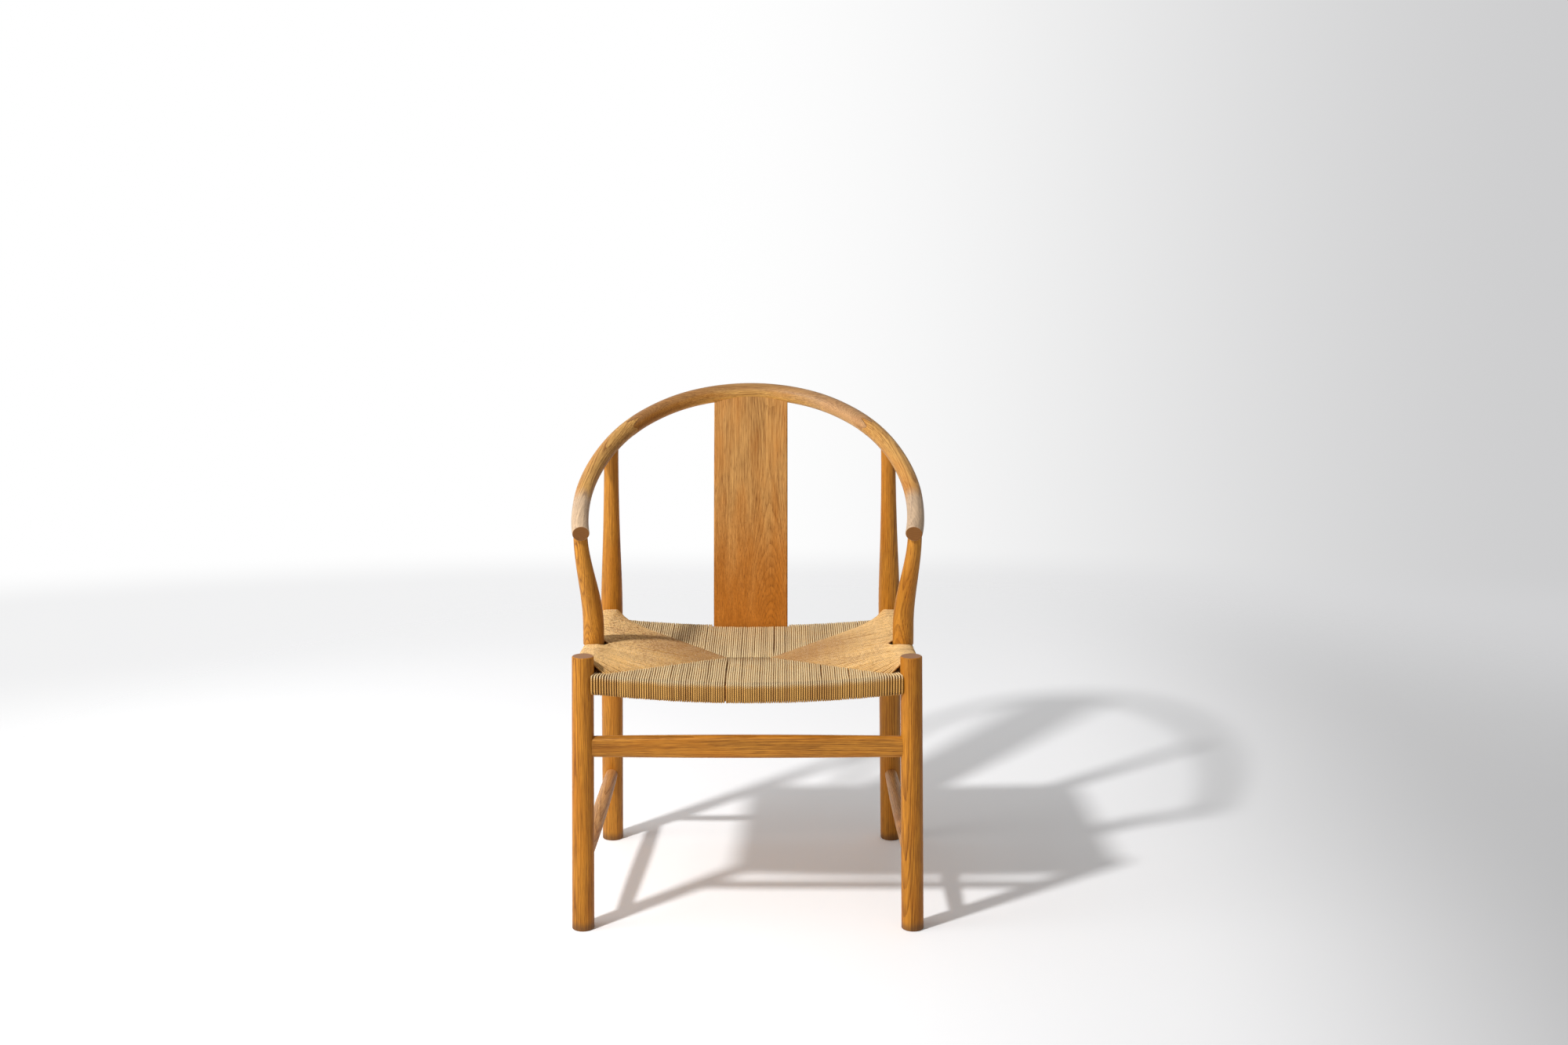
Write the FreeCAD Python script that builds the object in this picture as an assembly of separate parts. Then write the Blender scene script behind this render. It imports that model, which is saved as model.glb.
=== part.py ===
import FreeCAD, Part
import math
import os

# Horseshoe back armchair in oak with a seat of woven paper cord.
# Millimetres, +Z up, +Y towards the back of the chair. Left and right are as seen from the front.
# The pieces are worked out with the front feet on the line y = 0 and moved at the end, so that
# the origin lies on the floor under the middle of the whole chair. The right half is modelled,
# and the left half is its mirror image.

Vector = FreeCAD.Vector
UP = Vector(0, 0, 1)
SIDEWAYS = Vector(1, 0, 0)
BACKWARDS = Vector(0, 1, 0)

# Bow: crest and arms lie on one tilted plane and follow three arcs on each side of the middle
crest_height = 785.1                     # centre line at the middle of the crest
crest_setback = 481.9                    # from the front legs back to that centre line
bow_tilt = math.radians(22.2)            # slope of the bow's plane, low at the front
crest_bend_radius = 215.9
crest_bend_angle = math.radians(40.9)
shoulder_bend_radius = 305.6
shoulder_bend_angle = math.radians(25.8)
arm_bend_radius = 514.7
arm_bend_angle = math.radians(32.0)
crest_diameter = 29.0
arm_end_diameter = 26.8
arm_end_rounding = 1.0
bow_section_angle = math.radians(7.0)    # spacing of the sections that shape the bow

# Finger joints between the crest and the arms
finger_joint_turn = math.radians(57.0)   # how far round the bow from the middle
finger_joint_length = 22.0
finger_tip_width = 1.6
finger_count = 3

# Front legs
front_leg_spacing_foot = 517.4
front_leg_spacing_top = 503.6
front_leg_height = 440.4
front_leg_foot_diameter = 34.8
front_leg_top_diameter = 33.8
leg_chamfer = 1.3
leg_floor_allowance = 12.0               # extra length that is sawn off level with the floor

# Rear legs: raked back at the foot and leaning forward up to the bow
rear_leg_spacing_foot = 490.0
rear_leg_foot_setback = 427.6
rear_leg_bow_turn = math.radians(68.7)   # how far round the bow the leg meets it
rear_leg_foot_diameter = 35.8
rear_leg_seat_diameter = 36.4
rear_leg_seat_height = 430.0             # straight up to here, tapered above
rear_leg_middle_diameter = 29.8
rear_leg_middle_height = 550.0
rear_leg_neck_diameter = 25.4
rear_leg_neck_height = 635.0
rear_leg_top_diameter = 24.2
rear_leg_tenon_diameter = 14.0
rear_leg_tenon_past_centre = 5.0         # how far it goes beyond the arm's centre line

# Seat rails, wood only
seat_rail_height = 26.4
seat_rail_rounding = 6.0
front_rail_depth = 22.0
front_rail_end_height = 399.0            # centre line at the leg
front_rail_dip = 14.5                    # how far its middle hangs lower
front_rail_bow = 6.0                     # how far its middle stands forward
side_rail_width = 26.4
side_rail_front_height = 412.5
side_rail_rear_height = 417.0
rear_rail_depth = 28.0
rear_rail_setback = 365.0
rear_rail_end_height = 394.0
rear_rail_dip = 12.0
rail_tenon_diameter = 12.0
rail_tenon_depth = 25.0

# Slot in the rear rail, where the cord passes down in front of the splat
slot_bridge = 9.5                        # wood in front of the slot
slot_width = 7.0
slot_length = 134.0

# Splat
splat_width = 125.5
splat_thickness = 11.0
splat_rounding = 2.0
splat_bow = 10.0                         # how far its middle stands forward of a straight board
splat_top_inset = 4.4                    # in front of the crest's centre line
splat_tenon_thickness = 5.0
splat_tenon_width = 100.0
splat_tenon_depth = 16.0

# Arm posts
arm_post_setback = 130.0
arm_post_overhang = 22.0                 # arm that stands past the post's centre line
arm_post_base_diameter = 33.2
arm_post_top_diameter = 21.8
arm_post_bend_shares = (0.15, 0.95)      # where up the post its sideways bend starts and ends
arm_post_taper_shares = (0.1, 1.0)
arm_post_sections = 12
arm_post_tenon_diameter = 11.0
arm_post_tenon_depth = 18.0
arm_post_tenon_past_centre = 4.0

# Stretchers
front_stretcher_drop = 102.5             # centre line below the front rail's at the leg
front_stretcher_height = front_rail_end_height - front_stretcher_drop
front_stretcher_middle_width = 36.0
front_stretcher_end_width = 32.0
front_stretcher_thickness = 19.0
front_stretcher_rounding = 8.0
front_stretcher_sections = 7
side_stretcher_front_height = 105.5
side_stretcher_rear_height = 128.0
rear_stretcher_height = 168.0
round_stretcher_end_diameter = 20.0
round_stretcher_middle_diameter = 24.5
stretcher_tenon_diameter = 13.0
stretcher_tenon_depth = 22.0

# Cord seat: one layer of cord over the rails and one under them, hollow in between
cord_diameter = 3.3
seat_apex_spacing = 72.0                 # between the inner points of the two side fields
seat_apex_setback = 165.0
seat_apex_height = 396.0
seat_apex_thickness = 22.0               # upper layer to lower layer, over all
seat_front_corner_inset = 27.5           # from the side rail to the start of the front field
seat_rear_corner_inset = 27.0
seat_field_sink = 0.6                    # fields leave the wrapped rails just under their top
seat_field_edge = 7.0                    # from a rail's centre line to the fields' edge
weave_clearance = 0.3

# Tacks on the inside of the side rails, which hold the ends of the cord
tack_shank_diameter = 1.6
tack_shank_length = 14.0
tack_head_diameter = 4.2
tack_head_thickness = 0.9
tacks_per_rail = 3

# Fits and cutters
glue_gap = 1.0                           # space at the bottom of each mortise
tenon_root = 2.0                         # run of a tenon inside its own piece
cut_reach = 60.0                         # overrun of boxes and prisms used as cutters


def lerp(first, last, share):
    return first + (last - first) * share


def ease(share, limits):
    """Runs smoothly from 0 to 1 between the two limits."""
    inside = (share - limits[0]) / (limits[1] - limits[0])
    inside = min(max(inside, 0), 1)
    return inside * inside * (3 - 2 * inside)


def mirrored(shape):
    return shape.mirror(Vector(), SIDEWAYS)


def across(point):
    """The same place on the left half of the chair."""
    return Vector(-point.x, point.y, point.z)


def framed(shape, origin, right, forward):
    """Moves a flat shape from the XY plane to a plane through origin, square to forward."""
    rotation = FreeCAD.Rotation(right, forward.cross(right), forward, "ZXY")
    shape.Placement = FreeCAD.Placement(origin, rotation)
    return shape


def peg(start, end, diameter):
    run = end - start
    return Part.makeCylinder(diameter / 2, run.Length, start, run)


def tenon(axis_point, inwards, leg_radius, depth, diameter, gap=0):
    """Round tenon into a leg, or with a gap its mortise. inwards points from the leg to the rail."""
    root = axis_point + inwards * (leg_radius + tenon_root)
    tip = axis_point + inwards * (leg_radius - depth - gap)
    return peg(root, tip, diameter)


def rounded_section(origin, forward, right, width, height, rounding):
    """Wire of a rectangle with round corners, its width along right, square to forward."""
    edges = []
    last = None
    for number, (side, level) in enumerate(((1, 1), (-1, 1), (-1, -1), (1, -1))):
        centre = Vector(side * (width / 2 - rounding), level * (height / 2 - rounding), 0)
        start = number * math.pi / 2
        corner = Part.ArcOfCircle(Part.Circle(centre, UP, rounding), start, start + math.pi / 2)
        if last:
            edges.append(Part.LineSegment(last, corner.StartPoint).toShape())
        edges.append(corner.toShape())
        last = corner.EndPoint
    edges.append(Part.LineSegment(last, edges[0].valueAt(edges[0].FirstParameter)).toShape())
    return framed(Part.Wire(edges), origin, right, forward)


def smooth_curve(points, start_run=None):
    """Curve through the points, which leaves the first one along start_run if that is given."""
    curve = Part.BSplineCurve()
    if start_run is None:
        curve.interpolate(points)
    else:
        bound = [number == 0 for number in range(len(points))]
        curve.interpolate(Points=points, Tangents=[start_run] * len(points), TangentFlags=bound)
    return curve.toShape()


def turned(stations, foot, head, straight_runs):
    """Solid of revolution about the line foot to head, through (distance, radius) stations.
    That many runs are straight, and one smooth curve joins the stations after them."""
    points = [Vector(radius, 0, distance) for distance, radius in stations]
    low = Vector(0, 0, points[0].z)
    high = Vector(0, 0, points[-1].z)
    sides = [Part.makeLine(*points[number:number + 2]) for number in range(straight_runs)]
    curved = points[straight_runs:]
    if len(curved) > 1:
        start_run = curved[0] - points[straight_runs - 1] if straight_runs else None
        sides.append(smooth_curve(curved, start_run))
    caps = [Part.makeLine(low, points[0]), Part.makeLine(points[-1], high), Part.makeLine(high, low)]
    profile = Part.Face(Part.Wire(Part.__sortEdges__(caps + sides)))
    solid = profile.revolve(Vector(), UP, 360)
    solid.Placement = FreeCAD.Placement(foot, FreeCAD.Rotation(UP, head - foot))
    return solid


def standing(leg):
    """Saws a leg off level with the floor and breaks the foot's edge."""
    reach = crest_height
    below = Part.makeBox(2 * reach, 2 * reach, cut_reach, Vector(-reach, -reach, -cut_reach))
    sawn = leg.cut(below)
    rim = [edge for edge in sawn.Edges if edge.BoundBox.ZMax < leg_chamfer / 2]
    return sawn.makeChamfer(leg_chamfer, rim)


BOW_ARCS = (
    (crest_bend_radius, crest_bend_angle),
    (shoulder_bend_radius, shoulder_bend_angle),
    (arm_bend_radius, arm_bend_angle),
)
bow_end_turn = sum(angle for radius, angle in BOW_ARCS)
bow_normal = Vector(0, -math.sin(bow_tilt), math.cos(bow_tilt))


def bow_point(turn):
    """Centre line of the bow, turned that far from the middle of the crest, right side positive."""
    start = 0
    sideways = 0
    forwards = 0
    for radius, angle in BOW_ARCS:
        stop = min(start + angle, max(abs(turn), start))
        sideways += radius * (math.sin(stop) - math.sin(start))
        forwards += radius * (math.cos(start) - math.cos(stop))
        start += angle
    setback = crest_setback - forwards * math.cos(bow_tilt)
    height = crest_height - forwards * math.sin(bow_tilt)
    return Vector(math.copysign(sideways, turn), setback, height)


def bow_direction(turn):
    slope = -math.sin(turn)
    return Vector(math.cos(turn), slope * math.cos(bow_tilt), slope * math.sin(bow_tilt))


def bow_radius(turn):
    return lerp(crest_diameter, arm_end_diameter, abs(turn) / bow_end_turn) / 2


def bow_length(first_turn, last_turn):
    """Round rod that follows the bow from one turn to another."""
    count = math.ceil((last_turn - first_turn) / bow_section_angle)
    rings = []
    for number in range(count + 1):
        turn = lerp(first_turn, last_turn, number / count)
        ring = Part.Wire(Part.makeCircle(bow_radius(turn)))
        rings.append(framed(ring, bow_point(turn), -bow_normal, bow_direction(turn)))
    return Part.makeLoft(rings, True)


def finger_cutter(facing):
    """Prism with the fingers' zigzag on one face, on the arm's side when facing is 1."""
    origin = bow_point(finger_joint_turn)
    along = bow_direction(finger_joint_turn)
    outwards = along.cross(bow_normal)
    half = crest_diameter * 0.6
    pitch = 2 * half / finger_count
    near = -finger_joint_length / 2
    far = finger_joint_length / 2
    flat = finger_tip_width / 2
    corners = [(facing * cut_reach, -half), (near, -half)]
    for number in range(finger_count):
        start = -half + number * pitch
        corners.append((near, start + flat))
        corners.append((far, start + pitch / 2 - flat))
        corners.append((far, start + pitch / 2 + flat))
        corners.append((near, start + pitch - flat))
    corners += [(near, half), (facing * cut_reach, half)]
    points = [origin + along * run + outwards * rise - bow_normal * cut_reach for run, rise in corners]
    outline = Part.makePolygon(points + points[:1])
    return Part.Face(outline).extrude(bow_normal * (2 * cut_reach))


def arm_blank():
    joint_share = finger_joint_length / shoulder_bend_radius
    rod = bow_length(finger_joint_turn - joint_share, bow_end_turn)
    end = bow_point(bow_end_turn)
    rim = min(rod.Edges, key=lambda edge: (edge.CenterOfMass - end).Length)
    rod = rod.makeFillet(arm_end_rounding, [rim])
    return rod.cut(finger_cutter(-1))


def crest_blank():
    joint_share = finger_joint_length / shoulder_bend_radius
    rod = bow_length(-finger_joint_turn - joint_share, finger_joint_turn + joint_share)
    cutter = finger_cutter(1)
    return rod.cut(cutter).cut(mirrored(cutter))


def front_leg_point(height):
    share = height / front_leg_height
    return Vector(lerp(front_leg_spacing_foot, front_leg_spacing_top, share) / 2, 0, height)


def front_leg_blank(grow=0):
    foot = front_leg_point(0)
    head = front_leg_point(front_leg_height)
    length = (head - foot).Length
    top = front_leg_top_diameter / 2 + grow
    stations = [
        (-leg_floor_allowance, front_leg_foot_diameter / 2 + grow),
        (length - leg_chamfer, top),
        (length, top - leg_chamfer),
    ]
    return turned(stations, foot, head, len(stations) - 1)


rear_leg_head = bow_point(rear_leg_bow_turn)
rear_leg_foot = Vector(rear_leg_spacing_foot / 2, rear_leg_foot_setback, 0)
rear_leg_axis = (rear_leg_head - rear_leg_foot).normalize()


def rear_leg_point(height):
    return rear_leg_foot + rear_leg_axis * (height / rear_leg_axis.z)


def rear_leg_blank(grow=0):
    length = (rear_leg_head - rear_leg_foot).Length
    stations = [
        (-leg_floor_allowance, rear_leg_foot_diameter / 2 + grow),
        (rear_leg_seat_height, rear_leg_seat_diameter / 2 + grow),
        (rear_leg_middle_height, rear_leg_middle_diameter / 2 + grow),
        (rear_leg_neck_height, rear_leg_neck_diameter / 2 + grow),
        (length, rear_leg_top_diameter / 2 + grow),
    ]
    return turned(stations, rear_leg_foot, rear_leg_head, 1)


def rear_leg_tenon(gap=0):
    root = rear_leg_head - rear_leg_axis * (arm_end_diameter / 2 + tenon_root)
    tip = rear_leg_head + rear_leg_axis * (rear_leg_tenon_past_centre + gap)
    return peg(root, tip, rear_leg_tenon_diameter)


def side_rail_point(setback):
    """Centre line of the side rail, from front leg to rear leg."""
    front = front_leg_point(side_rail_front_height)
    rear = rear_leg_point(side_rail_rear_height)
    return front + (rear - front) * (setback / rear.y)


side_rail_line = (side_rail_point(rear_rail_setback) - side_rail_point(0)).normalize()
side_rail_inwards = UP.cross(side_rail_line).normalize()


def side_rail_blank(cover=0):
    """Side rail from leg centre to leg centre, with a cover of cord if one is given."""
    rear = rear_leg_point(side_rail_rear_height)
    start = side_rail_point(0)
    width = side_rail_width + 2 * cover
    height = seat_rail_height + 2 * cover
    section = rounded_section(start, side_rail_line, -side_rail_inwards, width, height,
                              seat_rail_rounding + cover)
    return Part.Face(section).extrude(rear - start)


def curved_rail(end, middle, depth, cover):
    """Rail on an arc between the two legs of a pair, through its middle point."""
    start = across(end)
    arc = Part.Arc(start, middle, end).toShape()
    forward = arc.tangentAt(arc.FirstParameter)
    right = UP.cross(forward).normalize()
    width = depth + 2 * cover
    height = seat_rail_height + 2 * cover
    section = rounded_section(start, forward, -right, width, height, seat_rail_rounding + cover)
    return Part.Wire(arc).makePipeShell([section], True, False)


def front_rail_blank(cover=0):
    end = front_leg_point(front_rail_end_height)
    middle = Vector(0, -front_rail_bow, front_rail_end_height - front_rail_dip)
    return curved_rail(end, middle, front_rail_depth, cover)


def rear_rail_blank(cover=0):
    end = rear_leg_point(rear_rail_end_height)
    end.y = rear_rail_setback
    middle = Vector(0, rear_rail_setback, rear_rail_end_height - rear_rail_dip)
    return curved_rail(end, middle, rear_rail_depth, cover)


slot_front = rear_rail_setback - rear_rail_depth / 2 + slot_bridge
slot_rear = slot_front + slot_width


def cord_slot():
    """Slot with round ends, right through the rear rail."""
    straight = slot_length - slot_width
    bottom = rear_rail_end_height - cut_reach
    corner = Vector(-straight / 2, slot_front, bottom)
    slot = Part.makeBox(straight, slot_width, 2 * cut_reach, corner)
    for side in (-1, 1):
        centre = Vector(side * straight / 2, slot_front + slot_width / 2, bottom)
        slot = slot.fuse(Part.makeCylinder(slot_width / 2, 2 * cut_reach, centre, UP))
    return slot


def splat_board(width, thickness, rounding):
    """Board on the splat's arc, from inside the rear rail to inside the crest."""
    rail_back = rear_rail_setback + rear_rail_depth / 2
    foot_height = rear_rail_end_height - rear_rail_dip + seat_rail_height / 2
    head = Vector(0, crest_setback - splat_top_inset, crest_height)
    shoulder = Vector(0, (slot_rear + rail_back) / 2, foot_height)
    behind = (head - shoulder).normalize().cross(SIDEWAYS)
    curve = Part.Circle(shoulder, (shoulder + head) / 2 - behind * splat_bow, head)
    lowest = curve.parameter(shoulder) - splat_tenon_depth / curve.Radius
    sweep = curve.parameter(head) - lowest
    forward = curve.tangent(lowest)[0]
    section = rounded_section(curve.value(lowest), forward, SIDEWAYS, width, thickness, rounding)
    return Part.Face(section).revolve(curve.Center, curve.Axis, math.degrees(sweep))


def splat_tenons():
    return splat_board(splat_tenon_width, splat_tenon_thickness, splat_tenon_thickness / 4)


def back_splat():
    body = splat_board(splat_width, splat_thickness, splat_rounding)
    return body.cut(rear_rail_blank()).cut(crest_blank()).fuse(splat_tenons())


arm_post_base = side_rail_point(arm_post_setback) + UP * (seat_rail_height / 2)
arm_post_head = bow_point(bow_end_turn - arm_post_overhang / arm_bend_radius)


def arm_post_blank(grow=0):
    """Curved, tapered post from the top of the side rail to the arm's centre line."""
    places = []
    for number in range(arm_post_sections + 1):
        share = number / arm_post_sections
        place = arm_post_base + (arm_post_head - arm_post_base) * ease(share, arm_post_bend_shares)
        place.z = lerp(arm_post_base.z, arm_post_head.z, share)
        places.append(place)
    rings = []
    for number, place in enumerate(places):
        forward = places[min(number + 1, arm_post_sections)] - places[max(number - 1, 0)]
        if number in (0, arm_post_sections):
            forward = UP
        share = number / arm_post_sections
        taper = ease(share, arm_post_taper_shares)
        radius = lerp(arm_post_base_diameter, arm_post_top_diameter, taper) / 2 + grow
        forward = Vector(forward).normalize()
        right = BACKWARDS.cross(forward).normalize()
        rings.append(framed(Part.Wire(Part.makeCircle(radius)), place, right, forward))
    return Part.makeLoft(rings, True)


def arm_post_tenons(gap=0):
    low = peg(arm_post_base + UP * tenon_root,
              arm_post_base - UP * (arm_post_tenon_depth + gap), arm_post_tenon_diameter)
    high = peg(arm_post_head - UP * (arm_end_diameter / 2 + tenon_root),
               arm_post_head + UP * (arm_post_tenon_past_centre + gap), arm_post_tenon_diameter)
    return low.fuse(high)


def round_stretcher_blank(start, end):
    length = (end - start).Length
    edge = round_stretcher_end_diameter / 2
    stations = [(0, edge), (length / 2, round_stretcher_middle_diameter / 2), (length, edge)]
    return turned(stations, start, end, 0)


def front_stretcher_blank():
    end = front_leg_point(front_stretcher_height)
    wires = []
    for number in range(front_stretcher_sections):
        share = 2 * number / (front_stretcher_sections - 1) - 1
        width = lerp(front_stretcher_middle_width, front_stretcher_end_width, share * share)
        place = Vector(end.x * share, 0, front_stretcher_height)
        wires.append(rounded_section(place, SIDEWAYS, BACKWARDS, front_stretcher_thickness, width,
                                     front_stretcher_rounding))
    return Part.makeLoft(wires, True)


def rail_tenons(gap=0):
    """Tenons of the seat rails in the right legs, as a dictionary by rail and leg."""
    front = front_leg_point(front_rail_end_height)
    rear = rear_leg_point(rear_rail_end_height)
    side_front = front_leg_point(side_rail_front_height)
    side_rear = rear_leg_point(side_rail_rear_height)
    thin = front_leg_top_diameter / 2
    thick = rear_leg_seat_diameter / 2
    size = (rail_tenon_depth, rail_tenon_diameter, gap)
    return {
        "front": tenon(front, -SIDEWAYS, thin, *size),
        "rear": tenon(rear, -SIDEWAYS, thick, *size),
        "side_front": tenon(side_front, side_rail_line, thin, *size),
        "side_rear": tenon(side_rear, -side_rail_line, thick, *size),
    }


side_stretcher_front = front_leg_point(side_stretcher_front_height)
side_stretcher_rear = rear_leg_point(side_stretcher_rear_height)
side_stretcher_line = (side_stretcher_rear - side_stretcher_front).normalize()


def stretcher_tenons(gap=0):
    """Tenons of the stretchers in the right legs, as a dictionary by stretcher and leg."""
    front = front_leg_point(front_stretcher_height)
    rear = rear_leg_point(rear_stretcher_height)
    thin = front_leg_foot_diameter / 2
    thick = rear_leg_seat_diameter / 2
    size = (stretcher_tenon_depth, stretcher_tenon_diameter, gap)
    return {
        "front": tenon(front, -SIDEWAYS, thin, *size),
        "rear": tenon(rear, -SIDEWAYS, thick, *size),
        "side_front": tenon(side_stretcher_front, side_stretcher_line, thin, *size),
        "side_rear": tenon(side_stretcher_rear, -side_stretcher_line, thick, *size),
    }


def with_pair(body, pegs):
    """Adds a peg and its mirror image at the two ends of a piece."""
    return body.fuse(pegs).fuse(mirrored(pegs))


def front_leg():
    leg = standing(front_leg_blank())
    for name in ("front", "side_front"):
        leg = leg.cut(rail_tenons(glue_gap)[name]).cut(stretcher_tenons(glue_gap)[name])
    return leg


def rear_leg(arm):
    leg = standing(rear_leg_blank()).cut(arm)
    for name in ("rear", "side_rear"):
        leg = leg.cut(rail_tenons(glue_gap)[name]).cut(stretcher_tenons(glue_gap)[name])
    return leg.fuse(rear_leg_tenon())


def arm(blank):
    return blank.cut(rear_leg_tenon(glue_gap)).cut(arm_post_tenons(glue_gap))


def crest():
    return crest_blank().cut(splat_tenons())


def arm_post(blank):
    return arm_post_blank().cut(blank).cut(side_rail_blank()).fuse(arm_post_tenons())


def front_seat_rail():
    legs = front_leg_blank()
    body = front_rail_blank().cut(legs).cut(mirrored(legs))
    return with_pair(body, rail_tenons()["front"])


def rear_seat_rail():
    legs = rear_leg_blank()
    body = rear_rail_blank().cut(legs).cut(mirrored(legs))
    return with_pair(body, rail_tenons()["rear"]).cut(cord_slot()).cut(splat_tenons())


def side_seat_rail(tacks):
    body = side_rail_blank().cut(front_leg_blank()).cut(rear_leg_blank())
    pegs = rail_tenons()
    body = body.fuse(pegs["side_front"]).fuse(pegs["side_rear"])
    return body.cut(arm_post_tenons(glue_gap)).cut(tacks)


def front_stretcher():
    legs = front_leg_blank()
    body = front_stretcher_blank().cut(legs).cut(mirrored(legs))
    return with_pair(body, stretcher_tenons()["front"])


def rear_stretcher():
    legs = rear_leg_blank()
    end = rear_leg_point(rear_stretcher_height)
    body = round_stretcher_blank(across(end), end).cut(legs).cut(mirrored(legs))
    return with_pair(body, stretcher_tenons()["rear"])


def side_stretcher():
    body = round_stretcher_blank(side_stretcher_front, side_stretcher_rear)
    body = body.cut(front_leg_blank()).cut(rear_leg_blank())
    pegs = stretcher_tenons()
    return body.fuse(pegs["side_front"]).fuse(pegs["side_rear"])


def side_tacks():
    """Tacks driven into the inner face of the right side rail."""
    tacks = []
    for number in range(tacks_per_rail):
        share = (number + 0.5) / tacks_per_rail
        face = side_rail_point(rear_rail_setback * share) + side_rail_inwards * (side_rail_width / 2)
        shank = peg(face, face - side_rail_inwards * tack_shank_length, tack_shank_diameter)
        head = peg(face, face + side_rail_inwards * tack_head_thickness, tack_head_diameter)
        tacks.append(shank.fuse(head))
    return tacks


def rail_top(sideways, end, dip):
    """Height of a curved rail's centre line at a place between its ends."""
    return end.z - dip * (1 - (sideways / end.x) ** 2)


def field_points(skin, upper):
    """Corners of the cord fields' upper or lower surface on the right half, moved in by a skin."""
    sign = 1 if upper else -1
    lift = UP * (sign * (seat_rail_height / 2 + cord_diameter - seat_field_sink - skin))
    front_end = front_leg_point(front_rail_end_height)
    rear_end = rear_leg_point(rear_rail_end_height)
    front_edge = seat_field_edge
    rear_edge = rear_rail_setback - seat_field_edge

    def side(setback):
        return side_rail_point(setback) + side_rail_inwards * seat_field_edge + lift

    front_x = side(front_edge).x - seat_front_corner_inset
    rear_x = side(rear_edge).x - seat_rear_corner_inset
    front_z = rail_top(front_x, front_end, front_rail_dip)
    rear_z = rail_top(rear_x, rear_end, rear_rail_dip)
    middle_y = front_edge - front_rail_bow
    apex_height = seat_apex_height - skin if upper else seat_apex_height - seat_apex_thickness + skin
    return {
        "front": Vector(front_x, front_edge, front_z) + lift,
        "rear": Vector(rear_x, rear_edge, rear_z) + lift,
        "front_middle": Vector(0, middle_y, rail_top(0, front_end, front_rail_dip)) + lift,
        "rear_middle": Vector(0, rear_edge, rail_top(0, rear_end, rear_rail_dip)) + lift,
        "apex": Vector(seat_apex_spacing / 2, seat_apex_setback, apex_height),
        "side_front": side(front_edge),
        "side_middle": side(seat_apex_setback),
        "side_rear": side(rear_edge),
    }


def field_edges(points):
    """Edges of one surface: the rail arcs, the ridge between the apexes and both side fields."""
    edges = {
        "front": Part.Arc(across(points["front"]), points["front_middle"], points["front"]).toShape(),
        "rear": Part.Arc(across(points["rear"]), points["rear_middle"], points["rear"]).toShape(),
        "ridge": Part.makeLine(across(points["apex"]), points["apex"]),
    }
    for side, move in (("right", Vector), ("left", across)):
        for end in ("front", "rear"):
            name = side + "_" + end
            rail_end = move(points["side_" + end])
            edges[name + "_rail"] = Part.makeLine(rail_end, move(points["side_middle"]))
            edges[name + "_corner"] = Part.makeLine(rail_end, move(points[end]))
            edges[name + "_crease"] = Part.makeLine(move(points[end]), move(points["apex"]))
    return edges


def seat_fields(skin):
    """Solid between the upper and the lower layer of cord, each moved in by the skin."""
    layers = [field_edges(field_points(skin, upper)) for upper in (True, False)]
    faces = []
    for edges in layers:
        faces.append(Part.makeRuledSurface(edges["front"], edges["ridge"]))
        faces.append(Part.makeRuledSurface(edges["rear"], edges["ridge"]))
        for side in ("right_front", "right_rear", "left_front", "left_rear"):
            faces.append(Part.makeRuledSurface(edges[side + "_rail"], edges[side + "_crease"]))
    for name in layers[0]:
        if name != "ridge" and "crease" not in name:
            faces.append(Part.makeRuledSurface(layers[0][name], layers[1][name]))
    shell = Part.Shell(faces)
    shell.sewShape()
    solid = Part.Solid(shell)
    if solid.Volume < 0:
        solid.reverse()
    return solid


def seat_weave():
    """Cord layers with the wraps round the four rails, cut clear of the wood that stands in them."""
    posts = []
    for blank in (front_leg_blank, rear_leg_blank, arm_post_blank):
        post = blank(weave_clearance)
        posts += [post, mirrored(post)]

    def clear_of_posts(shape):
        for post in posts:
            shape = shape.cut(post)
        return shape

    side_wrap = clear_of_posts(side_rail_blank(cord_diameter))
    rear_wrap = clear_of_posts(rear_rail_blank(cord_diameter))
    weave = clear_of_posts(front_rail_blank(cord_diameter))
    for layer in (side_wrap, rear_wrap, mirrored(side_wrap), clear_of_posts(seat_fields(0))):
        weave = weave.fuse(layer)
    behind_slot = Part.makeBox(slot_length, 2 * cut_reach, 2 * cut_reach,
                               Vector(-slot_length / 2, slot_rear, rear_rail_end_height - cut_reach))
    side_rail = side_rail_blank()
    inside = (
        behind_slot,
        seat_fields(cord_diameter),
        front_rail_blank(),
        rear_rail_blank().cut(cord_slot()),
        side_rail,
        mirrored(side_rail),
    )
    for shape in inside:
        weave = weave.cut(shape)
    return weave


def chair():
    """All pieces by name, in the frame of the front feet."""
    arm_rod = arm_blank()
    tacks = side_tacks()
    pieces = {
        "crest_rail": crest(),
        "back_splat": back_splat(),
        "front_seat_rail": front_seat_rail(),
        "rear_seat_rail": rear_seat_rail(),
        "front_stretcher": front_stretcher(),
        "rear_stretcher": rear_stretcher(),
        "seat_weave": seat_weave(),
        "cord_tacks": Part.makeCompound(tacks + [mirrored(tack) for tack in tacks]),
    }
    handed = {
        "front_leg": front_leg(),
        "rear_leg": rear_leg(arm_rod),
        "arm": arm(arm_rod),
        "arm_post": arm_post(arm_rod),
        "side_seat_rail": side_seat_rail(Part.makeCompound(tacks)),
        "side_stretcher": side_stretcher(),
    }
    for name, shape in handed.items():
        pieces[name + "_right"] = shape
        pieces[name + "_left"] = mirrored(shape)
    return pieces


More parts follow.
